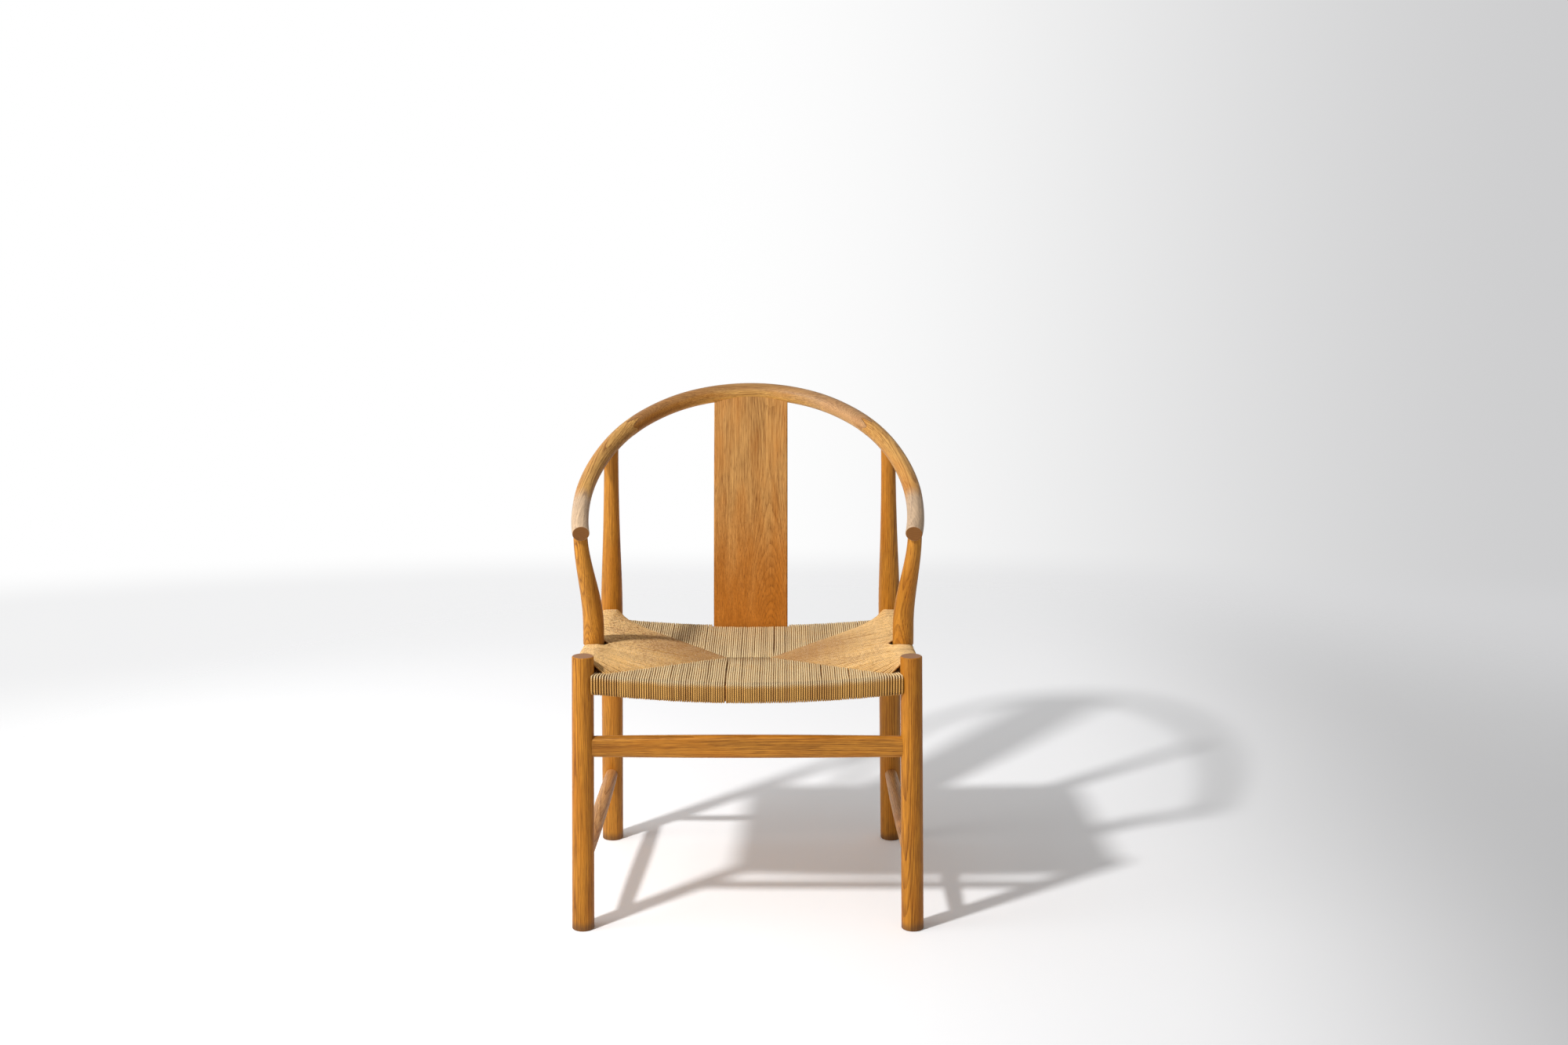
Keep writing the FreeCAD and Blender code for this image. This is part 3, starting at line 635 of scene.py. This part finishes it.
def side_rail(y):
    """Centre of the side rail at y, as (x, z)."""
    share = y / SIDE_RAIL_LENGTH
    return tuple(lerp(front, rear, share) for front, rear in zip(SIDE_RAIL_FRONT, SIDE_RAIL_REAR))


print("leg line", round(LEG_LINE, 4), "side rail at 100 mm", [round(v, 1) for v in side_rail(100.0)])

# %% [markdown]
# Four creases run in from the corners. The front and the rear pair stop at two points near the
# middle, and a short ridge joins these. A crease starts high, on the rail, and sinks inwards,
# which gives the seat its dish. It is straight, so its two ends say all that the cords need.

# %% Creases of the seat
FRONT_CORNER = (217.8, 7.0)
REAR_CORNER = (204.0, 358.0)
APEX = (36.0, 165.0)
APEX_OVER = 394.35
APEX_UNDER = 375.65
CORNER_LIFT = 14.25


def crease(y):
    """Half width of the front or rear field at y, and its height over and under the seat."""
    corner, rail = (FRONT_CORNER, front_rail) if y < APEX[1] else (REAR_CORNER, rear_rail)
    share = (y - corner[1]) / (APEX[1] - corner[1])
    level = rail(corner[0])[1]
    half_width = lerp(corner[0], APEX[0], share)
    over = lerp(level + CORNER_LIFT, APEX_OVER, share)
    return half_width, over, lerp(level - CORNER_LIFT, APEX_UNDER, share)


def crease_setbacks(x):
    """Where the front and the rear crease lie at x."""
    reach = max(abs(x), APEX[0])
    return [lerp(corner[1], APEX[1], (corner[0] - reach) / (corner[0] - APEX[0]))
            for corner in (FRONT_CORNER, REAR_CORNER)]


print("crease at 100 mm", [round(v, 1) for v in crease(100.0)])

# %% [markdown]
# Round a rail the cord follows the rounded rectangle of the wood, half its own thickness away,
# because a plain circle would cut through its edges or stand off its faces. The path leaves the
# top and the bottom of the rail at the slope of the field it runs to. At the middle of the rear
# rail the cords go down through the slot in front of the splat.

# %% Path round a rail
CORD_HALF = 1.65
RAIL_HALF_HEIGHT = 13.2
CORD_LEVEL = RAIL_HALF_HEIGHT + CORD_HALF
RAIL_ROUNDING = 6.0
FRONT_HALF_DEPTH = 11.0
REAR_HALF_DEPTH = 14.0
SLOT_EDGE = -4.5
CORNER_STEPS = 3
LEAVE_STEPS = 2
LEAST_SLOPE = 2.0


def arc(centre, radius, start, stop, steps):
    """Points on an arc, angles in degrees."""
    points = []
    for step in range(steps + 1):
        angle = math.radians(lerp(start, stop, step / steps))
        points.append((centre[0] + radius * math.cos(angle), centre[1] + radius * math.sin(angle)))
    return points


def round_rail(half_depth, slope_over, slope_under):
    """Over, round and under a rail, as (outwards, up) from its centre."""
    radius = RAIL_ROUNDING + CORD_HALF
    out = half_depth - RAIL_ROUNDING
    up = RAIL_HALF_HEIGHT - RAIL_ROUNDING
    return (arc((-out, up), radius, 90 + slope_over, 90, LEAVE_STEPS)
            + arc((out, up), radius, 90, 0, CORNER_STEPS)
            + arc((out, -up), radius, 0, -90, CORNER_STEPS)
            + arc((-out, -up), radius, -90, -90 - slope_under, LEAVE_STEPS))


def through_slot(slope_over, slope_under):
    """Over the rear rail's front edge, down through its slot and under again."""
    radius = RAIL_ROUNDING + CORD_HALF
    out = RAIL_ROUNDING - REAR_HALF_DEPTH
    up = RAIL_HALF_HEIGHT - RAIL_ROUNDING
    return (arc((out, up), radius, 90 + slope_over, 90, LEAVE_STEPS)
            + arc((SLOT_EDGE, RAIL_HALF_HEIGHT), CORD_HALF, 90, 0, LEAVE_STEPS)
            + arc((SLOT_EDGE, -RAIL_HALF_HEIGHT), CORD_HALF, 0, -90, LEAVE_STEPS)
            + arc((out, -up), radius, -90, -90 - slope_under, LEAVE_STEPS))


def slopes(run, rail_z, over, under):
    """Falls of the runs over and under the seat, in degrees, from a rail to the heights over and
    under. Where a field lies level, its cord still clears the edge of the rail."""
    drops = rail_z + CORD_LEVEL - over, under - rail_z + CORD_LEVEL
    return [max(math.degrees(math.atan2(drop, run)), LEAST_SLOPE) for drop in drops]


print("points round a rail", len(round_rail(FRONT_HALF_DEPTH, 5, 5)))

# %% [markdown]
# The pieces of a path are the same for all long cords: a half loop round a rail, a straight run
# over the field and one under it, and a dive at the crease, where the cord slips under its
# neighbours from the side.

# %% Stretches of a long cord
SINK = 3.4
SLOT_REACH = 65.0
RUN_STEPS = 4
# How far past the crease a cord has come, and what share of its dive is behind it
DIVE_POINTS = ((-2.0, 0.0), (0.8, 0.3), (3.5, 1.0))


def straight(first, last, steps):
    """Points between two places, without the places themselves."""
    return [(lerp(first[0], last[0], n / steps), lerp(first[1], last[1], n / steps))
            for n in range(1, steps)]


def dive(place, direction, level, sink):
    """A cord going under its neighbours at a crease."""
    return [(place + past * direction, level - share * sink) for past, share in DIVE_POINTS]


def rail_half(x, rail, half_depth, outwards, goal, over, under):
    """Half loop round the front or rear rail, from the top field to the bottom field."""
    y, z = rail(x)
    inner = y - outwards * (half_depth - RAIL_ROUNDING)
    falls = slopes(abs(goal - inner), z, over, under)
    in_slot = outwards > 0 and abs(x) < SLOT_REACH
    path = through_slot(*falls) if in_slot else round_rail(half_depth, *falls)
    return [(y + outwards * out, z + up) for out, up in path]


def with_runs(half, start, stop):
    """Adds the straight runs over and under the seat to a half loop."""
    return straight(start, half[0], RUN_STEPS) + half + straight(half[-1], stop, RUN_STEPS)


print("a dive at 100 mm", dive(100.0, 1, APEX_OVER, SINK))

# %% [markdown]
# Long cords run from front to rear at one x. Between the two creases they pass under the side
# fields. In the middle, where the side fields end, front and rear cords each turn down at the
# ridge. Beyond the last crease a cord only goes round its rail.

# %% Long cords
DEEP_PAST, DEEP_INSET = 1.0, 3.0
RIDGE_GAP, RIDGE_INSET = 0.6, 4.0


def turn_back(y, inset, over, under):
    """Inside the seat, from the lower layer up to the upper one."""
    return [(y, under + inset), (y, over - inset)]


def field_half(x, rail, half_depth, outwards, goal):
    """Half of a long cord: its dive, its loop round one rail and its rise."""
    over, under = crease(goal)[1:]
    half = rail_half(x, rail, half_depth, outwards, goal, over, under)
    down = dive(goal, -outwards, over, SINK)
    up = dive(goal, -outwards, under, -SINK)
    return down, with_runs(half, down[0], up[0]), up


def long_cord(x):
    """Closed paths, as (y, z), of the cord or cords at x."""
    if abs(x) > FRONT_CORNER[0]:
        return [wrap(x, front_rail, FRONT_HALF_DEPTH, -1)]
    front, rear = crease_setbacks(x)
    down, half, up = field_half(x, front_rail, FRONT_HALF_DEPTH, -1, front)
    if abs(x) > REAR_CORNER[0]:
        return [down[:1] + half + up[:1] + turn_back(front + DEEP_PAST, DEEP_INSET, *crease(front)[1:])]
    rear_down, rear_half, rear_up = field_half(x, rear_rail, REAR_HALF_DEPTH, 1, rear)
    if abs(x) < APEX[0]:
        levels = RIDGE_INSET, APEX_OVER, APEX_UNDER
        return [down[:1] + half + up[:1] + turn_back(APEX[1] - RIDGE_GAP, *levels),
                rear_down[:1] + rear_half + rear_up[:1] + turn_back(APEX[1] + RIDGE_GAP, *levels)]
    return [down[::-1] + half + up + rear_up[::-1] + rear_half[::-1] + rear_down]


def wrap(x, rail, half_depth, outwards):
    """A cord that only goes round its rail."""
    y, z = rail(x)
    return [(y + outwards * out, z + up) for out, up in round_rail(half_depth, 90, 90)]


print("points on the cord at 100 mm", len(long_cord(100.0)[0]))

# %% [markdown]
# Hand work is never even. Neighbouring cords wander together, so one smooth noise field moves
# them all, where a random shift for each cord would only make them cross. Here and there two
# neighbours have parted; the widest of these open lines run left of the middle in front and
# right of it behind. Next to the legs the outermost cords spread.

# %% Unevenness of the weave
random.seed(11)
LONG_REACH = 233.0
FRONT_GAP, REAR_GAP = -32.0, 41.0
WIDE_OPENING = 1.1
SMALL_OPENING = 0.35
LEAST_OPENING = 0.05
OPENING_LEVELS = (1, 1, 1, 2.4)
LINE_SPACING = (6, 40)
GAP_FADE = 9.0
WANDER = 0.7
WANDER_WIDTH, WANDER_LENGTH = 22, 70
LONG_SEED = 1.0
LINE_START = 12
FRONT_LINE_STOP, REAR_LINE_START = 150, 180
SPREAD_START = 196.0
SPREAD_DEPTH = 10
SPREAD = 5.0


def clamped(value):
    return min(max(value, 0), 1)


def wander(x, y, seed):
    """Smooth sideways shift of the cords, in millimetres."""
    return WANDER * noise.noise(Vector((x / WANDER_WIDTH, y / WANDER_LENGTH, seed)))


def gap_lines(wide):
    """Lines along which the cords of a field have opened, as (x, opening): one wide, many small."""
    lines = [(wide, WIDE_OPENING)]
    x = -LONG_REACH
    while x < LONG_REACH:
        x += random.uniform(*LINE_SPACING)
        lines.append((x, random.uniform(LEAST_OPENING, SMALL_OPENING) * random.choice(OPENING_LEVELS)))
    return lines


FRONT_LINES = gap_lines(FRONT_GAP)
REAR_LINES = gap_lines(REAR_GAP)


def opened(x, lines, strength):
    """Pushes the cords away from the lines beside them; strength is that of the small ones."""
    pushes = [opening * math.copysign(math.exp(-abs(x - gap) / GAP_FADE), x - gap)
              for gap, opening in lines]
    return pushes[0] + strength * sum(pushes[1:])


def long_place(x, y, z, lift):
    """Point of a long cord in the frame, with its small errors."""
    shift = wander(x, y, LONG_SEED)
    if y < FRONT_LINE_STOP:
        shift += opened(x, FRONT_LINES, clamped(y / LINE_START))
    if y > REAR_LINE_START:
        shift += opened(x, REAR_LINES, 1)
    edge = max(abs(x) - SPREAD_START, 0) / (LONG_REACH - SPREAD_START)
    shift += math.copysign(SPREAD * clamped(-y / SPREAD_DEPTH) * edge ** 2, x)
    return Vector(((x + shift) * MM, LEG_LINE + y * MM, (z + lift) * MM))


print("open lines", len(FRONT_LINES), "in front and", len(REAR_LINES), "behind")

# %% [markdown]
# Side cords come over the side rail and run in to the crease. They fan out a little, because
# the rail between the legs is shorter than the seat is deep. Round the arm post they part and
# close again behind it, which leaves a small dark gap at the post.

# %% Where side cords part
SIDE_HALF_WIDTH = 13.2
POST = (246.1, 130.0)
POST_GAP = 18.8
POST_REACH = 92.0
POST_SHADOW = 23.0


def parted(y, x, strength):
    """Pushes a side cord away from the arm post."""
    offset = y - POST[1]
    if abs(offset) >= POST_REACH:
        return y
    behind = max(POST[0] - x, 0) / POST_SHADOW
    gap = POST_GAP * strength * math.sqrt(max(1 - behind * behind, 0))
    return POST[1] + math.copysign(gap + (POST_REACH - gap) * abs(offset) / POST_REACH, offset)


def field_height(x, y, upper):
    """Height of a long cord at a place in the front or rear field."""
    in_front = y < APEX[1]
    rail, half_depth, outwards = ((front_rail, FRONT_HALF_DEPTH, -1) if in_front
                                  else (rear_rail, REAR_HALF_DEPTH, 1))
    goal = crease_setbacks(x)[0 if in_front else 1]
    over, under = crease(goal)[1:]
    rail_y, rail_z = rail(x)
    edge = rail_y - outwards * (half_depth - RAIL_ROUNDING)
    share = clamped((y - edge) / (goal - edge))
    if upper:
        return lerp(rail_z + CORD_LEVEL, over, share)
    return lerp(rail_z - CORD_LEVEL, under, share)


print("a cord behind the post lies at", round(parted(140.0, POST[0], 1.0), 1), "mm")

# %% [markdown]
# From the middle a side cord runs hidden between the two layers of long cords, rises at the
# crease, crosses its field, goes round the rail and comes back below. The left half mirrors
# the right one, and a point in the middle closes the loop.

# %% Side cords
SIDE_COUNT = 98
RAIL_START, RAIL_STOP = 20.2, 339.6
CREASE_START, CREASE_STOP = 7.0, 356.5
FIELD_SHARES = (0.72, 0.45, 0.24, 0.15, 0.1, 0.06, 0.03)
INSIDE_SHARES = (0.0, 0.45, 0.85)
TOP_POINTS = LEAVE_STEPS + 2
POST_EASE = 0.9


def side_half(crease_y, rail_y, side):
    """From the middle over one side rail and back under it, as (x, y, z)."""
    half_width, over, under = crease(crease_y)
    rail_x, rail_z = side_rail(rail_y)
    run = rail_x - (SIDE_HALF_WIDTH - RAIL_ROUNDING) - half_width
    path = round_rail(SIDE_HALF_WIDTH, *slopes(run, rail_z, over, under))
    loop = [(rail_x + out, rail_z + up) for out, up in path]
    down = dive(half_width, -1, over, SINK)
    up = dive(half_width, -1, under, -SINK)

    def along(x):
        return lerp(crease_y, rail_y, clamped((x - half_width) / (rail_x - half_width)))

    def inside(share, upper):
        x = half_width * share
        return x, crease_y, field_height(x, crease_y, upper) + (-SINK if upper else SINK)

    points = [inside(share, True) for share in INSIDE_SHARES]
    points += [(x, crease_y, z) for x, z in reversed(down)]
    for share in FIELD_SHARES:
        x = lerp(loop[0][0], down[0][0], share)
        points.append((x, parted(along(x), x, 1.0), lerp(loop[0][1], down[0][1], share)))
    for number, (x, z) in enumerate(loop):
        fall = number / (len(loop) - 1)
        strength = 1.0 if number <= TOP_POINTS else 1 - POST_EASE * fall
        points.append((x, parted(along(x), x, strength), z))
    points += [(x, along(x), z) for x, z in straight(loop[-1], up[0], RUN_STEPS)]
    points += [(x, crease_y, z) for x, z in up]
    points += [inside(share, False) for share in reversed(INSIDE_SHARES[1:])]
    return [(side * x, y, z) for x, y, z in points]


def side_cord(number):
    share = number / (SIDE_COUNT - 1)
    crease_y = lerp(CREASE_START, CREASE_STOP, share)
    rail_y = lerp(RAIL_START, RAIL_STOP, share)
    right = side_half(crease_y, rail_y, 1)
    left = side_half(crease_y, rail_y, -1)
    return right + [(0, crease_y, field_height(0, crease_y, False) + SINK)] + left[:0:-1]


print("points on a side cord", len(side_cord(40)))

# %% [markdown]
# The paths become round cords. A curve with a round bevel is the simplest tube; turned into a
# mesh it keeps its rings in order, so each point can be told how far along its cord it lies and
# where on the circumference. The material twists its plies by these two values.

# %% Cords as meshes
SWELL = 0.07
SWELL_LENGTH = 9 * MM
RING_SIDES = 8
START_RANGE = 10


def tube(name, paths, radius):
    """Closed tubes along the paths, a little thicker here and there, as one mesh."""
    curve = bpy.data.curves.new(name, "CURVE")
    curve.dimensions = "3D"
    curve.bevel_depth = radius
    curve.bevel_resolution = RING_SIDES // 2 - 2
    for path in paths:
        spline = curve.splines.new("POLY")
        spline.points.add(len(path) - 1)
        spline.points.foreach_set("co", [value for point in path for value in (*point, 1)])
        swells = [1 + SWELL * noise.noise(point / SWELL_LENGTH) for point in path]
        spline.points.foreach_set("radius", swells)
        spline.use_cyclic_u = True
    piece = bpy.data.objects.new(name, curve)
    bpy.context.collection.objects.link(piece)
    bpy.ops.object.select_all(action="DESELECT")
    piece.select_set(True)
    bpy.context.view_layer.objects.active = piece
    bpy.ops.object.convert(target="MESH")
    return bpy.context.object


def cord_mesh(name, paths, radius):
    """Cords along the paths, with attributes for the twist and a tone for each cord."""
    piece = tube(name, paths, radius)
    angles = [math.tau * side / RING_SIDES for side in range(RING_SIDES)]
    lay = []
    tones = []
    for path in paths:
        tone = random.random()
        travelled = random.random() * START_RANGE
        last = path[0]
        for point in path:
            travelled += (point - last).length / MM
            last = point
            for angle in angles:
                lay += [math.cos(angle), math.sin(angle), travelled]
            tones += [tone] * RING_SIDES
    attributes = piece.data.attributes
    attributes.new("lay", "FLOAT_VECTOR", "POINT").data.foreach_set("vector", lay)
    attributes.new("tone", "FLOAT", "POINT").data.foreach_set("value", tones)
    return piece


print("sides of a cord", RING_SIDES)

# %% [markdown]
# Now the seat is woven, in the order in which its errors are drawn: first the long cords from
# left to right, then the side cords from front to rear. The cords that only go round a rail at
# the corners are a piece of their own.

# %% Weave
LONG_PITCH = 3.55
LONG_RADIUS = 1.61 * MM
SIDE_RADIUS = 1.68 * MM
REAR_REACH = 215.5
PITCH_ERROR = 0.04
LIFT_ERROR = 0.3
SIDE_WANDER = 0.8
SIDE_SEED = 5.0
SHIFT_NOISE = (14, 9, 7.0)
LIFT_NOISE = (18, 7, 9.0)


def small_lift():
    return random.uniform(-LIFT_ERROR, LIFT_ERROR)


def side_noise(x, y, kind):
    """Small error of a side cord; kind is its length, its width and its seed."""
    length, width, seed = kind
    return SIDE_WANDER * noise.noise(Vector((x / length, y / width, seed)))


def side_place(x, y, z, lift):
    """Point of a side cord in the frame; these cords lie less evenly than the long ones."""
    shift = wander(y, x, SIDE_SEED) + side_noise(x, y, SHIFT_NOISE)
    lift += side_noise(x, y, LIFT_NOISE)
    return Vector((x * MM, LEG_LINE + (y + shift) * MM, (z + lift) * MM))


long_paths = []
wrap_paths = []
count = round(LONG_REACH / LONG_PITCH)
for number in range(-count, count + 1):
    x = (number + random.uniform(-PITCH_ERROR, PITCH_ERROR)) * LONG_REACH / count
    goal = wrap_paths if abs(x) > REAR_CORNER[0] else long_paths
    for path in long_cord(x):
        lift = small_lift()
        goal.append([long_place(x, y, z, lift) for y, z in path])
    if REAR_CORNER[0] < abs(x) < REAR_REACH:
        wrap_paths.append([long_place(x, y, z, 0) for y, z in wrap(x, rear_rail, REAR_HALF_DEPTH, 1)])
side_paths = []
for number in range(SIDE_COUNT):
    lift = small_lift()
    side_paths.append([side_place(x, y, z, lift) for x, y, z in side_cord(number)])
long_cords = cord_mesh("cords_front_to_rear", long_paths, LONG_RADIUS)
side_cords = cord_mesh("cords_side_to_side", side_paths, SIDE_RADIUS)
corner_cords = cord_mesh("cords_round_corners", wrap_paths, LONG_RADIUS)
for piece in (long_cords, side_cords, corner_cords):
    print(piece.name, "triangles", 2 * len(piece.data.polygons))

# %% [markdown]
# Paper cord is three plies of brown paper, twisted tight. The plies could be modelled, but that
# would take millions of faces. A repeating ridge that winds round the cord does the same in
# bump, and painted shade darkens its groove in colour; fine creases of the paper follow it.

# %% Plies of the cord
PLIES = 3
LAY_LENGTH = 9.0
GROOVE = (0.45, 1.0)
CREASES_PER_TURN = 26.0
CREASE_SHARES = (1, 0.22, 1)
# A pattern is how fine it is, its detail and its seed.
CREASE_PATTERN = (1.0, 3, 2.0)


def plies(tree):
    """The groove between two plies, and the creases of the paper."""
    lay = add(tree, "Attribute", attribute_name="lay").outputs["Vector"]
    cosine, sine, travelled = add(tree, "SeparateXYZ", {0: lay}).outputs
    around = maths(tree, "DIVIDE", maths(tree, "ARCTAN2", sine, cosine), math.tau)
    turns = maths(tree, "MULTIPLY_ADD", travelled, -1 / LAY_LENGTH, around)
    ply = maths(tree, "PINGPONG", times(tree, turns, PLIES * 2.0), 1.0)
    wound = add(tree, "CombineXYZ", {0: times(tree, turns, CREASES_PER_TURN), 1: travelled})
    unrolled = vector_maths(tree, "MULTIPLY", wound.outputs[0], CREASE_SHARES)
    return smooth_step(tree, ply, *GROOVE), cloud(tree, unrolled, *CREASE_PATTERN)


print("three plies turn every", LAY_LENGTH, "mm")

# %% [markdown]
# The cord is golden where light and oil have aged it, and pale and hairy on top where it has
# been sat on; the top of each cord is also painted lighter where light falls on it. Painted
# shade darkens the cords where neighbours touch, most of all on the outer faces of the rails.
# The middle of the side fields is browner, and there is a stain on the left.

# %% Wear of the cord, and painted shade between cords
CORD_GOLD = srgb(242, 184, 98)
CORD_PALE = srgb(255, 228, 174)
CORD_STRAW = srgb(255, 212, 144)
CORD_BROWN = srgb(146, 94, 40)
CORD_SHADE = srgb(72, 38, 8)
CORD_HIGHLIGHT = srgb(255, 240, 218)
SAT_BROWN = srgb(160, 108, 52)
CORD_STAIN = srgb(144, 90, 44)
STAIN_PLACE = (-0.165, 0.0, 0.42)
STAIN_EDGE, STAIN_CORE = 0.16, 0.02
SAT_PLACE = (0, -0.05, 0)
SAT_EDGE, SAT_CORE = 0.24, 0.1
SAT_SHARES = (1, 1.3, 0)
BESIDE = (0.3, 0.85)
SHADE_ANYWHERE, SHADE_ON_FACE = 0.1, 0.65


def painted_shade_between(tree, place, normal, sideways, face):
    """Painted shade where neighbours touch the cord, most on the outer face: (direction, start, stop)."""
    beside = maths(tree, "ABSOLUTE", dot(tree, normal, sideways))
    beside = smooth_step(tree, beside, *BESIDE)
    direction, start, stop = face
    outwards = maths(tree, "ABSOLUTE", dot(tree, place, direction))
    on_face = smooth_step(tree, outwards, start, stop)
    return times(tree, beside, weighted_sum(tree, SHADE_ANYWHERE, (on_face, SHADE_ON_FACE)))


def sat_on(tree, place):
    """The middle of the seat, seen from above."""
    flat = vector_maths(tree, "MULTIPLY", place, SAT_SHARES)
    return smooth_step(tree, distance(tree, flat, SAT_PLACE), SAT_EDGE, SAT_CORE)


print("stain at", STAIN_PLACE)

# %% [markdown]
# The recipe starts from gold and lays the wear, the painted shade and the painted highlights over
# it, mask by mask. Long and side cords share it: the long ones keep their plies sharp, while the
# side ones have a hairy, mottled skin.

# %% Paper cord
HAIR = (900, 2, 4.0)
MOTTLE = (260, 3, 8.0)
PATCHES = (26, 3, 6.0)
WORN_AND_LIT_TOP = (0.1, 0.95)
HIGHLIGHT_LEVELS = (0.02, 0.2)
HIGHLIGHT_SHARE = 0.8
SPECKLED = (-0.12, 0.3)
SAT_SHARE = 0.7
CORD_BUMP = (0.8, 0.0006)
CORD_SHINE = {"Specular IOR Level": 0.3}


def paper_cord(name, fuzz, pale, sideways, face):
    """Paper cord; fuzz runs from 0, with its plies sharp, to 1, with a hairy, mottled skin.
    pale is its top's colour, from wear and painted light, and its neighbours lie sideways."""
    material = new_material(name)
    tree = material.node_tree
    place = add(tree, "TexCoord").outputs["Object"]
    normal = add(tree, "NewGeometry").outputs["Normal"]
    tone = add(tree, "Attribute", attribute_name="tone").outputs["Fac"]
    groove, creases = plies(tree)
    hair = cloud(tree, place, *HAIR)
    patches = cloud(tree, place, *PATCHES)
    mottle = cloud(tree, place, *MOTTLE)
    upwards = dot(tree, normal, UPWARDS)
    # The top mask is real wear from sitting and painted light on the top of each cord.
    worn_and_lit = smooth_step(tree, weighted_sum(tree, upwards, (patches, 0.8), (hair, 0.9)), *WORN_AND_LIT_TOP)

    colour = colour_mix(tree, worn_and_lit, CORD_GOLD, pale)
    # Painted shade where each cord meets its neighbours, deepest on the outer faces of the rails.
    colour = colour_mix(tree, painted_shade_between(tree, place, normal, sideways, face), colour, CORD_SHADE)
    age = weighted_sum(tree, -0.12, (tone, 0.6), (patches, 0.6))
    age = times(tree, age, weighted_sum(tree, 1.0, (worn_and_lit, -0.5)))
    colour = colour_mix(tree, age, colour, CORD_BROWN)
    if fuzz > 0.5:
        colour = colour_mix(tree, times(tree, sat_on(tree, place), SAT_SHARE), colour, SAT_BROWN)
    # Painted highlights: near-white glints on the creases of the lit tops.
    highlights = times(tree, smooth_step(tree, creases, *HIGHLIGHT_LEVELS), HIGHLIGHT_SHARE)
    colour = colour_mix(tree, times(tree, highlights, worn_and_lit), colour, CORD_HIGHLIGHT)
    # Painted shade in the groove between plies, lighter on the tops.
    between = times(tree, groove, 0.75 - 0.35 * fuzz)
    between = times(tree, between, weighted_sum(tree, 1.0, (worn_and_lit, -0.25)))
    colour = colour_mix(tree, between, colour, CORD_SHADE)
    stain = smooth_step(tree, distance(tree, place, STAIN_PLACE), STAIN_EDGE, STAIN_CORE)
    uneven = weighted_sum(tree, 0.0, (patches, 0.5), (mottle, 1.4), (hair, 0.9))
    speckle = smooth_step(tree, uneven, *SPECKLED)
    share = times(tree, speckle, weighted_sum(tree, 0.5 * fuzz, (stain, 0.45)))
    colour = colour_mix(tree, share, colour, CORD_STAIN)

    height = weighted_sum(tree, 0.0, (groove, fuzz * 0.5 - 1.0), (creases, 0.5), (hair, 0.25 + fuzz),
                          (mottle, fuzz))
    roughness = weighted_sum(tree, 0.8, (creases, 0.2), (worn_and_lit, 0.1))
    surface(tree, colour, roughness, height, CORD_BUMP, CORD_SHINE)
    return material


print("hairs", round(1000 / HAIR[0], 1), "mm apart")

# %% [markdown]
# Each of the three pieces gets its own paper cord. They ride with the chair, and together they
# stand for the plain skin of the construction model, which is hidden.

# %% Dress the cords
SHARP, HAIRY = 0.15, 1.0
FRONT_FACE = (BACKWARDS, 0.24, 0.249)
SIDE_FACE = (SIDEWAYS, 0.248, 0.256)


def dress(piece, *finish):
    piece.data.materials.clear()
    piece.data.materials.append(paper_cord("paper_" + piece.name, *finish))
    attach(piece, "root")
    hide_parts("seat_weave")
    print("dressed", piece.name)


dress(long_cords, SHARP, CORD_PALE, SIDEWAYS, FRONT_FACE)
dress(side_cords, HAIRY, CORD_STRAW, BACKWARDS, SIDE_FACE)
dress(corner_cords, SHARP, CORD_PALE, SIDEWAYS, FRONT_FACE)

# %% [markdown]
# Small nails hold the ends of the cord on the inside of the side rails. They are plain steel,
# dulled by age, so one blotchy noise sets their colour, gloss and bump.

# %% Steel of the tacks
BLOTCH = (900, 3, 1.0)
STEEL_DARK = srgb(120, 116, 110)
STEEL_LIGHT = srgb(168, 166, 162)
STEEL_BUMP = (0.3, 0.0001)
STEEL_SHINE = {"Metallic": 1.0}


def dull_steel():
    material = new_material("tack_steel")
    tree = material.node_tree
    place = add(tree, "TexCoord").outputs["Object"]
    blotch = cloud(tree, place, *BLOTCH)
    colour = colour_mix(tree, maths(tree, "ADD", blotch, 0.5), STEEL_DARK, STEEL_LIGHT)
    roughness = weighted_sum(tree, 0.45, (blotch, 0.3))
    surface(tree, colour, roughness, blotch, STEEL_BUMP, STEEL_SHINE)
    return material


finish_node("cord_tacks", dull_steel())
print("tacks dressed")
